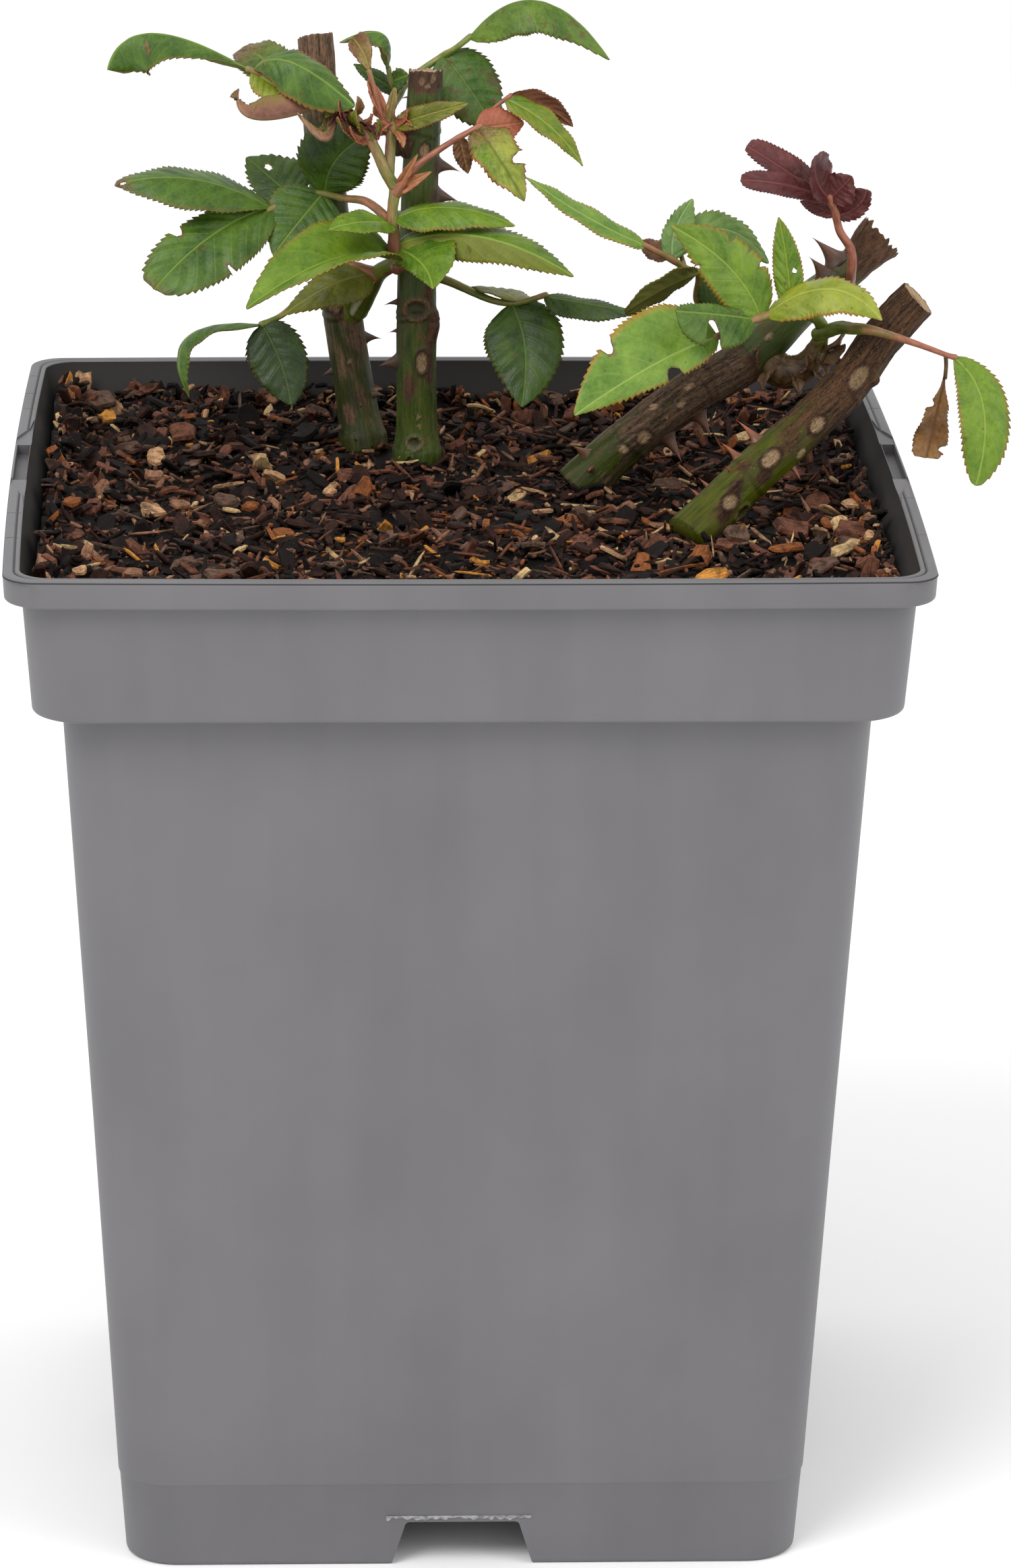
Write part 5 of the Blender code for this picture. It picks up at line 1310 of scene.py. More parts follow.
masses = {
    "foliage_left_whorl": {
        "slot": "leaf_bright",
        "sprays": [
            {"path": [(-12.6, 31, 261.4), (-13.1, 32.9, 262.7), (-13.6, 32, 269.3), (-13.9, 32, 273.8),
                      (-13.3, 33, 278.4)],
             "radii": (1.5, 1.45, 1.25, 1.15, 1.3), "flush": (0.7, 0.8, 0.4, 0.3),
             "leaves": [
                 blade(0.16, reach=(-32.5, -19, -6.5), width=17, face=(0.05, -0.25, 0.95), bow=4.8, peak=0.34,
                       sway=0.5, folds=(31, 31), look="bright", edge=0.5),
                 blade(0.30, reach=(8, -15, -5.5), width=9, face=(-0.3, -0.6, 0.7), sway=-2, fold=10,
                       halves=(0.7, 2), look="bright"),
                 blade(0.34, reach=(38.5, -15, -3.5), width=14, face=(0, -0.5, 0.85), bow=4.5, peak=0.42,
                       sway=-2.5, halves=(0.66, 1), folds=(-35, -12), look="bright", edge=0.4, turned=1),
                 blade(0.60, reach=(-14, -12, 1.5), width=9, face=(0, -0.45, 0.9), bow=1.2, fold=8,
                       look="bright"),
                 blade(0.66, reach=(26.5, -6, 0), width=12, face=(0, -0.35, 0.95), bow=2.5, peak=0.4, sway=-2,
                       fold=-15, look="bright", edge=0.8),
             ]},
        ],
    },
    "foliage_left_middle": {
        "slot": "leaf_dark",
        "sprays": [
            {"path": [(-13.8, 32, 271.4), (-19.2, 38, 274.7), (-24.7, 46, 273.9), (-30.6, 50, 274.2),
                      (-36.9, 49, 272.3), (-41, 47, 270.8)],
             "radii": (1.1, 0.9, 0.7, 0.6), "flush": (0.6, 0.3, 0.3),
             "leaves": [
                 blade(0.63, reach=(10, -8, 15), width=16, face=(0, -0.95, 0.3), bow=1, sway=-2.5, fold=6,
                       halves=(0.9, 1.05), shape=(0.6, 0.7), look="deep"),
                 blade(0.64, reach=(-11, -8, -12), width=17, face=(0, -0.75, 0.65), bow=0.5, peak=0.4, fold=6,
                       spots=[(0.5, -0.6, 0.8, 0.8), (0.6, -0.1, 0.5, 0.5)]),
                 blade(0.82, reach=(-10.5, 12, 6.8), width=16, face=(0.2, -0.85, 0.5), peak=0.4, fold=6,
                       halves=(1, 0.6), look="deep", holes=[(0.7, 0.2, 1.6, 1.2)]),
                 blade(0.97, reach=(-34.5, -3, 5.9), width=15, face=(0.1, -0.42, 0.9), bow=4.5, peak=0.54,
                       sway=0.5, shapes=((0.25, 0.4), (1.0, 1.0)), folds=(-15, -15),
                       holes=[(0.95, 0.0, 1.0, 0.9)], brown=0.9, brownFrom=0.84, edge=0.5),
                 blade(0.93, reach=(-27, -14, -15.5), width=20, face=(-0.1, -0.8, 0.6), bow=1, peak=0.42,
                       sway=2.5, fold=6, halves=(0.64, 1), shapes=((0.9, 0.35), (0.6, 0.5)),
                       bites=[(-1, 0.58, 0.022, 0.22), (1, 0.66, 0.034, 0.34)],
                       spots=[(0.62, -0.1, 1.6, 0.6), (0.3, 0.35, 0.9, 0.7)], brown=0.5, brownFrom=0.93,
                       edge=0.3),
             ]},
        ],
    },
    "foliage_left_low": {
        "slot": "leaf_dark",
        "sprays": [
            {"path": [(-16.4, 41.4, 257.4), (-22.8, 42.4, 259.4), (-28.7, 45, 257), (-33.7, 44.5, 251.9),
                      (-38, 43, 248.2), (-42.7, 41, 246.5)],
             "radii": (1.4, 1.1, 0.9, 0.7, 0.6), "flush": (0.6, 0.5, 0.2),
             "leaves": [
                 blade(0.05, reach=(-20.5, -3.6, -9), width=11, face=(0.1, -0.7, 0.7), bow=3.6, peak=0.35,
                       fold=-8, shape=(0.5, 1.1), look="olive"),
                 blade(0.99, reach=(6.5, -7, -16.5), width=14, face=(0, -0.9, 0.4), sway=-1, fold=6,
                       halves=(0.92, 0.85), shape=(0.45, 0.7), look="dark"),
                 blade(0.99, reach=(-16, -12, -13.5), width=8, face=(-0.65, 0, 0.75), bow=9.6, peak=0.75,
                       folds=(-10, -20), edge=0.4),
                 blade(0.03, reach=(-5.6, 6, -10), width=5.4, face=(-0.75, -0.6, 0.1), bow=1.4,
                       folds=(30, 30), shape=(0.35, 0.4), look="heel", teeth=3, edge=1.0, twist=-15,
                       quilt=0.05),
             ]},
        ],
    },
    "foliage_left_top": {
        "slot": "leaf_dark",
        "sprays": [
            {"path": [(-13.2, 33.1, 278.9), (-15.4, 33, 282.7), (-17.3, 34, 286.8), (-19.3, 35, 290.4),
                      (-22.3, 36, 293.9), (-26.3, 37, 296.5), (-31.8, 38, 298.4), (-38, 39, 301),
                      (-45.5, 40, 303.9)],
             "radii": (1.35, 1.2, 1.0, 0.8, 0.7, 0.6), "flush": (0.3, 0.5, 0.75, 0.4),
             "leaves": [
                 blade(0.98, reach=(-31, -5, 1), width=16, face=(0, -0.2, 1), bow=8.0, peak=0.88, sway=1.5,
                       shapes=((0.7, 0.95), (1.25, 0.42)), halves=(1, 0.74), folds=(-30, -48),
                       curls=(-20, -25),
                       spots=[(0.56, -0.3, 1.0, 2.4), (0.78, 0.2, 1.0, 0.7), (0.36, 0.3, 1.6, 0.6)],
                       edge=0.6),
                 blade(0.84, reach=(-9.5, 11, 3.6), width=11, face=(0, -0.6, 0.8), bow=2.5, sway=1.5, fold=6,
                       edge=0.4, brown=1.0, brownFrom=0.2),
                 blade(0.97, reach=(22.2, -8, -6.2), width=12, face=(0, -0.45, 0.9), bow=6.0, peak=0.2,
                       folds=(-35, -10), curls=(-20, -10), shapes=((1.1, 0.6), (0.6, 0.6)),
                       spots=[(0.2, 0.1, 2.2, 0.6)], edge=1.0),
                 blade(0.56, reach=(-19.6, -6, 4), width=8.6, face=(0, 0.7, 0.7), bow=-6.8, peak=1.15,
                       folds=(40, 44), curls=(60, 60), halves=(1, 0.85), shapes=((0.55, 0.85), (0.5, 1.3)),
                       quilt=0.5, look="curled", teeth=26, edge=1.0, brown=0.5, brownFrom=0.7),
                 blade(0.52, reach=(-8.5, -5, -0.5), width=6, face=(0, 0.6, 0.8), bow=-7.4, peak=0.55,
                       folds=(46, 46), curls=(60, 60), halves=(0.8, 0.5), quilt=0.45, look="curled", teeth=20,
                       edge=1.0),
                 blade(0.97, reach=(9, -7, -4.2), width=7.5, face=(0, -0.9, 0.4), bow=-1, fold=20,
                       look="lime", edge=1.0),
                 blade(0.95, reach=(9, -5, -6.2), width=4.6, face=(0, -0.9, 0.2), bow=-1.2, fold=24,
                       look="bronze", edge=1.0),
             ] + [scale(at, reach, look) for at, reach, look in (
                 (0.28, (-4.5, -4, 3.5), "blush"), (0.31, (-6.5, -4, 4.5), "pink"),
                 (0.33, (-2, -5, 5.5), "olive"), (0.35, (-5, -4, 6.5), "wine"),
                 (0.37, (2.5, -4, 3), "blush"), (0.39, (-7, -3, 1.5), "olive"),
                 (0.41, (-3.5, -5, 4.5), "blush"), (0.43, (1.5, -4, 5), "pink"),
                 (0.45, (-4.5, -4, -2.5), "wine"), (0.47, (-2, -5, 4), "pink"),
                 (0.36, (3.5, -5, -2), "wine"), (0.30, (2, -5, 4.5), "olive"))]},
        ],
    },
    "foliage_top_centre": {
        "slot": "leaf_dark",
        "sprays": [
            {"path": [(-14.8, 33.4, 281), (-14.3, 36.5, 286.7), (-14, 39, 290.8), (-14.2, 42.5, 294),
                      (-12.8, 47.5, 295.6), (-9.9, 53, 298.8), (-3.8, 55, 302.9), (0.3, 54, 305.7),
                      (3.7, 54, 308.5)],
             "radii": (1.3, 1.1, 0.9, 0.8, 0.6), "flush": (0.5, 0.2, 0.1),
             "leaves": [
                 blade(0.98, reach=(31, -6, -3.5), width=15, face=(0, -0.25, 1), bow=10.6, peak=0.4, sway=-2,
                       fold=-30, look="spotted", edge=0.4),
                 blade(0.84, reach=(10.8, -4.5, -15), width=14, face=(0.1, -0.9, 0.4), bow=1, peak=0.45,
                       fold=6, shape=(0.42, 0.6), look="mottled", flush=0.65, quilt=0.45),
                 blade(0.52, reach=(-10, 3, 6), width=4, face=(0, -0.8, 0.6), fold=8, look="deep"),
                 blade(0.26, reach=(16.5, -5.5, 6.2), width=5, face=(0, -0.8, 0.5), bow=0.5, fold=16,
                       look="olive", edge=1.0),
             ] + [scale(at, reach, "blush") for at, reach in (
                 (0.23, (-4.5, -4, 1.5)), (0.25, (4.5, -4, 1.5)), (0.27, (-3, -4, -2.5)),
                 (0.29, (3.5, -4, 3.5)), (0.24, (2.5, -4, -3)), (0.30, (-3.5, -3, 4)))]},
            {"on": (0, 0.25), "path": [(-2, -0.8, 2), (-3.4, -1, 7.6), (-5, -0.6, 13)],
             "radii": (0.8, 0.6, 0.5), "flush": (0.9, 0.8, 0.5),
             "leaves": [
                 blade(0.96, reach=(-3.6, 2, 7.2), width=5.6, face=(0.2, -0.95, 0.1), bow=0.4, sway=0.6,
                       folds=(26, 26), curls=(30, 30), shapes=((1.3, 0.28), (0.9, 0.4)), look="bract",
                       teeth=5, edge=1.0, brown=0.5),
                 blade(0.05, reach=(-4.6, 0, 10.5), width=2.6, face=(0.2, -0.95, 0.2), bow=0.3,
                       folds=(24, 24), shape=(0.7, 0.6), look="blush", teeth=5),
                 blade(0.08, reach=(1.6, 0, 8.5), width=2, face=(0, -0.95, 0.2), bow=0.3, fold=20,
                       shape=(0.7, 0.6), look="bract", teeth=5),
             ]},
            {"on": (0, 0.50), "path": [(-1.6, 0, 3.4), (-2.2, 0.4, 6.4)],
             "radii": (0.7, 0.5), "flush": (0.3, 0.3),
             "leaves": [
                 blade(0.97, reach=(-10.8, -9, 7.4), width=6, face=(0.2, -0.4, 0.9), bow=6.4, fold=-34,
                       holes=[(0.42, 0.3, 1.0, 0.9)], edge=0.9, brown=0.5),
                 blade(0.5, reach=(3.6, -2, 2), width=5, face=(0, -0.8, 0.6), fold=8),
             ]},
        ],
    },
    "foliage_centre_red": {
        "slot": "leaf_red",
        "sprays": [
            {"path": [(-13.4, 32.8, 277.2), (-11.7, 32.4, 280.5), (-8.3, 32.6, 284.2), (-3.4, 33, 287.7),
                      (1.1, 33, 290.5), (5.4, 34, 292.6)],
             "radii": (1.15, 0.85, 0.65, 0.6), "flush": (0.6, 0.8, 0.8),
             "leaves": [
                 blade(0.96, reach=(10, -10, -14), width=11, face=(0.2, -0.85, 0.45), bow=1, peak=0.36,
                       fold=6, halves=(0.85, 1), look="crinkled", edge=1.0, wave=0.9, quilt=0.8, flush=0.16,
                       brownFoot=0.8, bites=[(-1, 0.62, 0.07, 0.6)]),
                 blade(0.95, reach=(10.5, 3, 0.6), width=8, face=(0, -0.9, 0.4), fold=8, look="blush",
                       flush=0.5),
                 blade(0.05, reach=(7.4, -2, 4.8), width=2.6, face=(0, -0.9, 0.4), bow=0.4, fold=26,
                       shape=(0.35, 0.9), look="blush", teeth=5, quilt=0.05),
                 blade(0.07, reach=(4.2, -3, 8.4), width=2.1, face=(0, -0.9, 0.4), bow=0.4, fold=26,
                       shape=(0.35, 0.9), look="blush", teeth=5, quilt=0.05),
                 blade(0.78, reach=(2, 0, -8), width=4, face=(0, -1, 0.1), fold=6, look="bronze"),
             ]},
            {"on": (0, 0.97), "path": [(3, 3.5, 3), (7.4, 5, 6.2)], "radii": (0.5, 0.4), "flush": (0.9, 0.9),
             "leaves": [
                 blade(0.97, reach=(14, 6, -8), width=6.5, face=(0, 0.8, 0.5), bow=0.8, peak=0.44, sway=1,
                       fold=6, look="bronze"),
                 blade(0.85, reach=(16.8, -6, -13.5), width=6, face=(0.3, -0.7, 0.6), bow=1.6, sway=-1,
                       fold=12, shape=(0.45, 1.0), look="bright", edge=1.0, wave=0.5, flush=0.25, twist=20),
             ]},
        ],
    },
    "foliage_centre_low": {
        "slot": "leaf_dark",
        "sprays": [
            {"path": [(-7, 45, 256.9), (-1.4, 45, 255.5), (8, 40, 252.4), (13.6, 38, 252.2),
                      (20.1, 36, 254.5)],
             "radii": (1.1, 0.9, 0.7, 0.6), "flush": (0.3, 0.2, 0.3),
             "leaves": [
                 blade(0.72, reach=(2, -12, -20.5), width=17, face=(0, -0.85, 0.45), bow=0.5, peak=0.41,
                       sway=-2, fold=6, look="deep"),
                 blade(0.80, reach=(-10, 14, 0), width=12, face=(0, 0.3, 0.95), bow=1, fold=6, look="olive"),
                 blade(0.98, reach=(20.5, -8, -2), width=8, face=(0, -0.45, 0.9), peak=0.41, fold=-20,
                       look="deep"),
             ]},
        ],
    },
    "foliage_back": {
        "slot": "leaf_dark",
        "sprays": [
            {"path": [(-8, 42, 262), (-6, 51, 264), (-4, 57, 264), (-4, 63, 262.5)],
             "radii": (1.1, 0.9, 0.6), "flush": (0.3, 0.2, 0.3),
             "leaves": [
                 blade(0.98, reach=(-1, 22, -4), width=15, face=(0, 0.2, 0.97), bow=2, fold=8, look="deep"),
                 blade(0.70, reach=(12, 13, 0), width=11, face=(0.1, 0.1, 0.97), bow=1.5, fold=8),
                 blade(0.72, reach=(-12, 12, 1), width=11, face=(-0.1, 0.1, 0.97), bow=1.5, fold=8),
             ]},
        ],
    },
    "foliage_right_left": {
        "slot": "leaf_bright",
        "sprays": [
            {"path": [(66, 26.4, 244), (58.6, 24, 251), (52.4, 21, 256.5), (52.5, 18.5, 263),
                      (49.7, 18, 264.4), (45.6, 17, 267.2), (40.2, 16, 270.1)],
             "radii": (1.1, 0.9, 0.8, 0.6), "flush": (0.4, 0.3, 0.6),
             "leaves": [
                 blade(0.98, reach=(-26.5, -8, 17), width=9, face=(0.3, -0.5, 0.8), bow=-1.2,
                       halves=(0.9, 0.6), look="light", edge=0.9),
                 blade(0.84, reach=(-6, 9, 2), width=5, face=(0, -0.8, 0.5), fold=8, look="bronze"),
                 blade(0.82, reach=(4.5, 7, 12), width=9, face=(-0.2, -0.9, 0.3), peak=0.41, sway=-1.5,
                       halves=(1, 0.55), fold=8, look="teal"),
                 blade(0.66, reach=(-16.5, -10, -6.4), width=10, face=(0, 0.75, 0.65), peak=0.38, sway=-1.5,
                       fold=8, shape=(0.8, 0.55), look="olive"),
                 blade(0.62, reach=(11, 6, -8), width=10, face=(0, -0.9, 0.3), fold=8, look="deep"),
             ]},
            {"on": (0, 0.74), "path": [(-1.4, 3.6, 4.6)], "radii": (0.6, 0.5), "flush": (0.4, 0.4),
             "leaves": [
                 blade(0.96, reach=(20.5, 8, -6), width=13, face=(0.1, -0.75, 0.65), bow=3.4, peak=0.39,
                       sway=-4, fold=6, halves=(1, 0.62), look="teal", holes=[(0.35, 0.1, 1.4, 1.0)]),
             ]},
        ],
    },
    "foliage_right_centre": {
        "slot": "leaf_bright",
        "sprays": [
            {"path": [(65, 26.3, 243.6), (66, 26.6, 243.2), (72, 24.5, 240), (77.4, 22.5, 242.8),
                      (79.2, 18, 252), (73, 12, 256.4), (66.5, 8, 256.5), (60.6, 6, 254.7), (55, 4, 252.5)],
             "radii": (3.2, 3.3, 2.4, 1.5, 1.1, 0.9, 0.8, 0.7), "flush": (0.1, 0.1, 0.2, 0.4, 0.5),
             "brown": (1.0, 0.9, 0.6, 0.2, 0.05, 0.0, 0.0),
             "leaves": [
                 blade(0.985, reach=(-31.5, -16, -13.4), width=23, face=(0, -0.85, 0.5), bow=1.5, peak=0.39,
                       sway=1, fold=6, halves=(1, 0.42), look="light", edge=1.0,
                       bites=[(1, 0.66, 0.035, 0.3), (-1, 0.42, 0.05, 0.5)]),
                 blade(0.80, reach=(-19.5, -2, 20.5), width=13, face=(0.25, -0.9, 0.35), bow=1, peak=0.41,
                       sway=2.5, fold=6, look="bright", edge=0.9,
                       bites=[(1, 0.34, 0.018, 0.2), (1, 0.47, 0.012, 0.16), (1, 0.62, 0.02, 0.2),
                              (-1, 0.7, 0.02, 0.16)]),
                 blade(0.78, reach=(24.5, -8, 1), width=12, face=(0, -0.55, 0.85), bow=4.8, peak=0.57,
                       sway=-4, fold=-15, look="lime", edge=1.0),
                 blade(0.82, reach=(-18, -12, 4.6), width=9, face=(0, -0.85, 0.5), bow=0.5,
                       shape=(0.55, 0.45), halves=(0.5, 1.7), bites=[(-1, 0.58, 0.10, 0.85)]),
                 blade(0.66, reach=(-2.8, 3, 20), width=6.2, face=(0, -1, 0.1), sway=0.5, fold=10,
                       look="bright", brown=0.2, holes=[(0.42, 0.45, 0.9, 0.8)], edge=0.8),
             ] + [scale(at, reach) for at, reach in (
                 (0.05, (-5.5, -5, -1)), (0.08, (-3, -6, 4.5)), (0.10, (-2.5, -6, -4)), (0.15, (2.5, -7, -3)),
                 (0.17, (-4.5, -6, 1)), (0.20, (6, -5, -3)), (0.22, (0.5, -6, 5)), (0.25, (8, -4, 1)),
                 (0.27, (3, -6, -2)), (0.30, (6.5, -4, 3.5)), (0.33, (6, -2, 5.5)), (0.13, (4, -3, -5)))]},
        ],
    },
    "foliage_right_far": {
        "slot": "leaf_bright",
        "sprays": [
            {"path": [(78.4, 19.5, 249.4), (82.6, 13, 252.6), (85, 8, 253.6), (88, 4.5, 254.2),
                      (91.5, 2.5, 253.8), (98, 1, 252), (105, 0, 249.6), (106.8, 0, 249.2)],
             "radii": (1.6, 1.5, 1.3, 0.9, 0.65, 0.55), "flush": (0.0, 0.15, 0.6, 0.9),
             "leaves": [
                 blade(0.985, reach=(4.5, -10, -26), width=13, face=(0.25, -0.9, 0.35), bow=2.5, peak=0.36,
                       sway=-3.8, fold=6, halves=(0.85, 0.85), shape=(0.75, 0.6), look="bright", edge=0.8),
             ]},
            {"on": (0, 0.94), "path": [(0.3, 1.2, -2.6), (0.2, 1.5, -5.6)], "radii": (0.5, 0.4),
             "flush": (0.9, 0.9), "brown": (0.8, 1.0),
             "leaves": [blade(0.95, reach=(-3.4, 2, -18.5), width=7, face=(0.2, -0.9, 0.1), fold=10,
                              shape=(1.1, 0.26), look="dead", wave=1.1, twist=30,
                              bites=[(1, 0.35, 0.05, 0.5), (-1, 0.86, 0.05, 0.4)])]},
        ],
    },
    "foliage_right_red": {
        "slot": "leaf_red",
        "sprays": [
            {"path": [(86.3, 32, 257), (86.2, 26, 262), (85.9, 25, 267), (83.2, 24, 271.5), (82.1, 23, 275.7),
                      (80.4, 22, 279.6)],
             "radii": (1.2, 1.05, 0.9, 0.75), "flush": (1.0, 1.0),
             "leaves": [
                 blade(0.97, reach=(-18, 4, 11), width=7.2, face=(0, -0.9, 0.5), bow=0.5, halves=(1, 0.6),
                       fold=10, shape=(0.42, 0.34), look="wine", quilt=0.15),
                 blade(0.96, reach=(-20, -6, 5.8), width=5, face=(0, -0.9, 0.5), bow=0.5, sway=1, fold=10,
                       shape=(0.42, 0.34), look="wine", quilt=0.15, flush=-0.3),
                 blade(0.97, reach=(-4, -8, 11.2), width=6, face=(0.5, -0.8, 0.4), bow=-1, sway=-1, fold=12,
                       halves=(1.8, 1.0), shape=(0.45, 0.4), look="wine", quilt=0.15),
                 blade(0.97, reach=(4.5, -2, 5.5), width=8, face=(0, -0.9, 0.4), fold=12, look="wine"),
                 blade(0.82, reach=(6.4, -3, 6.3), width=8, face=(0.2, -0.9, 0.4), sway=1.5, fold=12,
                       halves=(0.5, 1.1), shape=(0.45, 0.45), look="wine", quilt=0.15),
                 blade(0.82, reach=(-7.5, 5, 2), width=3.4, face=(0, -0.9, 0.4), bow=0.5, fold=8,
                       look="wine"),
             ]},
        ],
    },
}


def leafMaterial(name, under):
    dark, light, below, vein, margin = leafLooks[name]
    curled = name == "curled"
    if under:
        low, high = (0.5, 1.45) if curled else (0.8, 1.15)
        dark, light = toned(below, low), toned(below, high)
    mat = newMaterial("leaf_" + name + ("_under" if under else ""), Specular_IOR_Level=0.34)
    own = ownPlace(mat)
    along, across, _ = splitUp(mat, ownPlace(mat, "leafPlace"))
    worn, flush, edge = splitUp(mat, ownPlace(mat, "tint"))
    crossMm = calc(mat, "ABSOLUTE", splitUp(mat, own)[1])
    side = calc(mat, "ABSOLUTE", across)
    patch = noisy(mat, own, 0.16, 3.0, 0.6)
    fine = noisy(mat, own, 1.3, 3.0, 0.6)
    tone = plus(mat, times(mat, patch, 0.7), times(mat, fine, 0.3))
    base = ramped(mat, tone, [(0.36, dark), (0.64, light)])
    lagging = less(mat, along, times(mat, side, foliage["veinLag"]))
    phase = times(mat, lagging, foliage["veins"])
    within = calc(mat, "FRACT", plus(mat, phase, 10.0))
    apart = calc(mat, "ABSOLUTE", less(mat, within, 0.5))
    sideVein = ranged(mat, apart, 0.0, 0.09, 0.22, 0.0)
    midVein = ranged(mat, crossMm, 0.10, 0.38, 0.75, 0.0)
    net = ranged(mat, cells(mat, own, 1.1, "DISTANCE_TO_EDGE"), 0.0, 0.2, 0.07, 0.0)
    veins = larger(mat, sideVein, midVein)
    veined = mixed(mat, larger(mat, veins, net), base, vein)
    low, high = (0.47, 0.56) if name == "mottled" else (0.3, 0.6)
    flushed = mixed(mat, times(mat, flush, ranged(mat, patch, low, high)), veined, margin)
    rim = times(mat, ranged(mat, side, 0.3 if curled else 0.86, 0.8 if curled else 0.99), edge)
    rimmed = mixed(mat, times(mat, rim, ranged(mat, fine, 0.35, 0.55, 0.4, 1.0)), flushed, margin)
    least = 0.60 if name in ("mottled", "spotted") else 0.68
    spots = ranged(mat, noisy(mat, own, 0.55, 2.0), least, least + 0.07, 0.0, 0.7)
    spotted = mixed(mat, spots, rimmed, rgb(108, 80, 36))
    brown = ramped(mat, fine, [(0.35, rgb(84, 52, 30)), (0.65, rgb(160, 116, 64))])
    done = mixed(mat, worn, spotted, brown)
    rough = ranged(mat, fine, 0.3, 0.7, 0.55, 0.7) if under else ranged(mat, fine, 0.3, 0.7, 0.34, 0.5)
    relief = less(mat, fine, times(mat, veins, 1.6))
    if under:
        relief = plus(mat, fine, times(mat, veins, 1.6))
    return finish(mat, done, rough, relief, 0.14, 0.8)


def arc(fold, curl, share):
    # how far out and up a half of the blade has come, when it starts folded and curls on
    if abs(curl) < 0.01:
        return share, share * math.tan(fold)
    out = (math.sin(fold + curl * share) - math.sin(fold)) / curl
    up = (math.cos(fold) - math.cos(fold + curl * share)) / curl
    return out / math.cos(fold), up / math.cos(fold)


def outlineAt(t, rise, fall):
    # half width of a blade at t, as a share of its widest
    if t <= 0 or t >= 1:
        return 0.03
    most = rise / (rise + fall)
    return max(0.035, (t / most) ** rise * ((1 - t) / (1 - most)) ** fall)


def toothScale(design):
    return min(1.0, design["width"] / foliage["fullWidth"])


def leafStations(design, length, rng):
    # places along a leaflet, each with how far a tooth of its margin reaches out and forward there
    pitch = foliage["toothPitch"] * (0.45 + 0.55 * toothScale(design))
    teeth = design.get("teeth", max(5, round(length / pitch)))
    out = [(0.0, 0.0, 0.0), (0.02, 0.0, 0.0)]
    for k in range(teeth):
        size = rng.uniform(0.7, 1.25)
        for phase in (0.05, 0.35, 0.65, 0.92):
            t = 0.035 + 0.955 * (k + phase) / teeth
            out.append((t, size * (phase - 0.1), size * phase * 0.5))
    out.append((1.0, 0.0, 0.0))
    return out


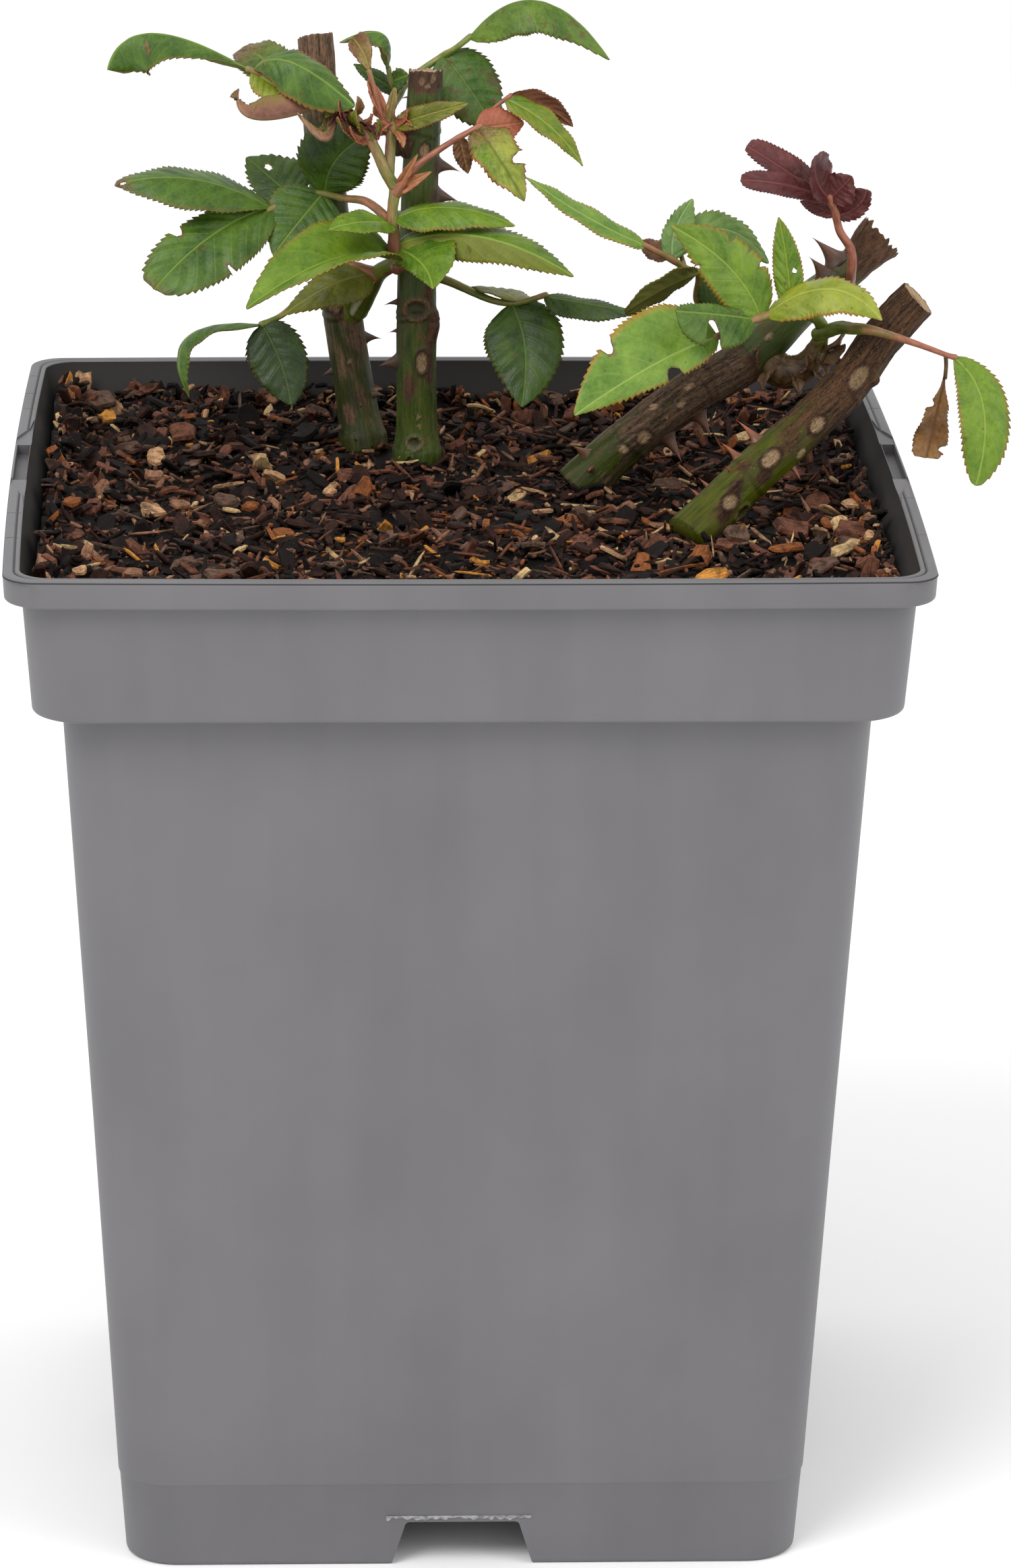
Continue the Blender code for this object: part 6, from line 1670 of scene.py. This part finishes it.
def leaflet(pile, foot, design, rng, slot):
    reach = Vector(design["reach"])
    length = reach.length
    toothDepth = foliage["toothDepth"] * toothScale(design)
    ahead = reach.normalized()
    face = sideways(ahead, design["face"])
    side = ahead.cross(face)
    pull = reach * design["peak"] + face * design["bow"] * 2 + side * design["sway"] * 2
    shapes = design.get("shapes", [design["shape"]] * 2)
    folds = [math.radians(f) for f in design.get("folds", [design["fold"]] * 2)]
    curls = [math.radians(c) for c in design["curls"]]
    twist = math.radians(design["twist"])
    waves, start = rng.uniform(2.2, 3.6), rng.uniform(0, 6)
    holes, scars = design["holes"], design["spots"]
    count = foliage["columnsHoled"] if holes or scars else foliage["columns"]
    seed = rng.uniform(0, 400)
    spans = [((j / count) ** 0.9, j == count) for j in range(count + 1)]
    columns = [(-1, *spans[j]) for j in range(count, 0, -1)] + [(1, *spans[j]) for j in range(count + 1)]
    grid, values = [], []
    stations = leafStations(design, length, rng)
    for t, tooth, lean in stations:
        centre = foot + pull * 2 * t * (1 - t) + reach * t * t
        along = (pull * (1 - 2 * t) + reach * t).normalized()
        up = sideways(along, face)
        way = along.cross(up)
        turn = twist * (t - 0.3)
        up, way = up * math.cos(turn) + way * math.sin(turn), way * math.cos(turn) - up * math.sin(turn)
        outlines = [outlineAt(t, *shape) for shape in shapes]
        row = []
        for sign, share, margin in columns:
            k = 0 if sign > 0 else 1
            outline = outlines[k]
            keen = min(1.0, outline * 1.5)
            limit, near = 1.0, 9.0
            for biteSide, spot, span, depth in design["bites"]:
                apart = (t - spot) / span
                if biteSide == sign and abs(apart) < 1:
                    limit = 1 - depth * math.sqrt(1 - apart * apart)
                if biteSide == sign:
                    near = min(near, max(0.0, abs(apart) - 1) * 4 + (1 - share))
            half = design["width"] / 2 * outline * design["halves"][k]
            spread = share * limit
            dx, dy = arc(folds[k], curls[k], spread)
            saw = 0.0
            if margin:
                saw = tooth * toothDepth * keen if limit > 0.99 else 0.25 * rng.random()
            phase = (t - spread * foliage["veinLag"]) * foliage["veins"]
            swell = design["quilt"] * abs(math.sin(math.pi * phase))
            swell *= math.sin(math.pi * min(1.0, spread * 1.05)) ** 0.6
            ripple = design["wave"] * math.sin(t * waves * 6.3 + start + sign) * spread ** 2 * keen
            spot = centre + way * sign * (half * dx + saw) + up * (half * dy + swell * keen + ripple)
            spot += along * (0.5 * toothDepth * lean if margin else 0.0)
            row.append(spot)
            own = Vector((t * length + seed, sign * half * spread, seed))
            worn = max(0.0, 1 - near * 5) * 0.9
            worn += design["brown"] * smoothStep(design["brownFrom"], 1.0, t)
            worn += design["brownFoot"] * smoothStep(0.42, 0.15, t)
            values.append((own, Vector((t, sign * spread, seed)),
                           [min(1.0, worn), design["flush"], design["edge"]]))
        grid.append(row)
    wide = len(columns)
    for own, _, tint in values:          # brown round a hole
        for hole in holes:
            tint[0] = max(tint[0], 1 - smoothStep(1.0, 1.7, holeSize(own, seed, length, design, hole)))
        for scar in scars:
            tint[0] = max(tint[0], 1 - smoothStep(0.8, 1.2, holeSize(own, seed, length, design, scar)))
    top = [p for row in grid for p in row]
    faces = []
    for i in range(len(grid) - 1):
        for j in range(wide - 1):
            corners = (i * wide + j, i * wide + j + 1, (i + 1) * wide + j + 1, (i + 1) * wide + j)
            if not any(holeSize(values[v][0], seed, length, design, hole) < 1
                       for hole in holes for v in corners):
                faces.append(corners)
    normals = gridNormals(grid)
    under = []
    for i, row in enumerate(grid):
        for j, p in enumerate(row):
            t = stations[i][0]
            cross = abs(values[i * wide + j][0].y)
            body = foliage["thick"] + foliage["midrib"] * math.exp(-(cross / 0.35) ** 2) * (1.1 - t)
            under.append(p - normals[i * wide + j] * body)
    size = len(top)
    edges = {}
    for a, b, c, d in faces:
        for edge in ((a, b), (b, c), (c, d), (d, a)):
            edges[edge] = True
    rims = [(b, a, a + size, b + size) for a, b in edges if (b, a) not in edges]
    lower = [(d + size, c + size, b + size, a + size) for a, b, c, d in faces]
    own, spots, tints = zip(*values)
    layers = {"ownPlace": own * 2, "leafPlace": spots * 2, "tint": tints * 2}
    pile.add(top + under, [], slot, **layers)
    first = len(pile.points) - 2 * size
    for group, number in ((faces, slot), (rims, slot), (lower, slot + 1)):
        for face in group:
            # the upper faces on the shaded side take the underside's colour: painted shade
            turned = group is faces and columns[face[0] % wide][0] == design["turned"]
            pile.faces.append([first + v for v in face])
            pile.slots.append(slot + 1 if turned else number)


def holeSize(own, seed, length, design, hole):
    # how far a spot lies from the middle of a hole, where the hole's edge is at 1
    spot, cross, long, broad = hole
    x = own.x - seed - spot * length
    y = own.y - cross * design["width"] / 2
    return math.hypot(x * 2 / long, y * 2 / broad)


def gridNormals(grid):
    out = []
    for i, row in enumerate(grid):
        above, below = grid[min(i + 1, len(grid) - 1)], grid[max(i - 1, 0)]
        for j in range(len(row)):
            across = row[min(j + 1, len(row) - 1)] - row[max(j - 1, 0)]
            out.append(across.cross(above[j] - below[j]).normalized())
    return out


def shootMaterial():
    mat = newMaterial("shootSkin", Roughness=0.42)
    own = ownPlace(mat)
    red, upper, brown = splitUp(mat, ownPlace(mat, "tint"))
    streak = noisy(mat, stretched(mat, own, 1.0, 1.0, 0.2), 1.6, 4.0, 0.6)
    green = ramped(mat, streak, [(0.3, rgb(96, 122, 30)), (0.7, rgb(158, 174, 72))])
    pink = ramped(mat, streak, [(0.3, rgb(146, 76, 56)), (0.7, rgb(208, 136, 104))])
    redder = plus(mat, red, times(mat, upper, 0.35))
    share = plus(mat, redder, less(mat, streak, 0.5))
    earthy = ramped(mat, streak, [(0.35, rgb(70, 46, 26)), (0.65, rgb(146, 112, 66))])
    fresh = mixed(mat, ranged(mat, share, 0.35, 0.85), green, pink)
    patch = noisy(mat, own, 0.5, 3.0)
    dry = ranged(mat, plus(mat, brown, less(mat, patch, 0.5)), 0.3, 0.6)
    return finish(mat, mixed(mat, dry, fresh, earthy), None, streak, 0.08, 0.7)


def twig(pile, path, radii, flush, brown, joints):
    # a round shoot with a small swelling at each joint and a blunt tip
    line = evenPath(path, foliage["twigStep"])
    total = lengthsAlong(line)[-1]
    rings = []
    for i, (centre, ahead, across, other) in enumerate(framesAlong(line, (line[1] - line[0]).normalized())):
        share = i / (len(line) - 1)
        swell = sum(math.exp(-((share - joint) * total / 1.1) ** 2) for joint in joints)
        radius = blend(radii, share) * (1 + 0.15 * min(1.2, swell))
        red, dry = blend(flush, share), blend(brown, share)
        ring = []
        for turn in fullTurn(foliage["twigSides"]):
            out = across * math.cos(turn) + other * math.sin(turn)
            own = Vector((out.x * radius + line[0].x, out.y * radius, share * total))
            bump = 0.06 * radius * noise.noise(own * 1.1)
            ring.append((centre + out * (radius + bump), own, (red, 0.5 + 0.2 * out.z - 0.4 * out.x, dry)))
        rings.append(ring)
    end = line[-1]
    rings.append([(end + (p - end) * 0.6 + ahead * radius * 0.5, own, tint) for p, own, tint in rings[-1]])
    rings.append([(end + (p - end) * 0.1 + ahead * radius * 0.7, own, tint) for p, own, tint in rings[-2]])
    addRings(pile, rings)


def growMass(name, mass, rng):
    lines = []
    twigs, leaves = Mesh("ownPlace", "tint"), Mesh("ownPlace", "leafPlace", "tint")
    looks = sorted({design["look"] for spray in mass["sprays"] for design in spray["leaves"]})
    for spray in mass["sprays"]:
        knots = spray["path"]
        if "on" in spray:
            parent, share = spray["on"]
            start, _ = atShare(lines[parent], share)
            knots = [start] + [start + Vector(step) for step in knots]
        path = smoothPath(knots, 8)
        lines.append(path)
        twig(twigs, path, spray["radii"], spray["flush"], spray.get("brown", (0.0, 0.0)),
             [design["at"] for design in spray["leaves"]])
        for design in spray["leaves"]:
            foot, _ = atShare(path, design["at"])
            leaflet(leaves, foot, design, rng, looks.index(design["look"]) * 2)
    materials = [skins[look + end] for look in looks for end in ("", "Under")]
    short = name.replace("foliage_", "")
    hand(leaves.piece("leaves_" + short, materials), mass["slot"], name)
    hand(twigs.piece("twigs_" + short, [skins["shoot"]]), "green_bark", name)


skins = {"shoot": shootMaterial()}
for look in leafLooks:
    skins[look] = leafMaterial(look, False)
    skins[look + "Under"] = leafMaterial(look, True)
leafRandom = random.Random(foliage["seed"])
for name, mass in masses.items():
    growMass(name, mass, leafRandom)
print("stage: foliage grown")
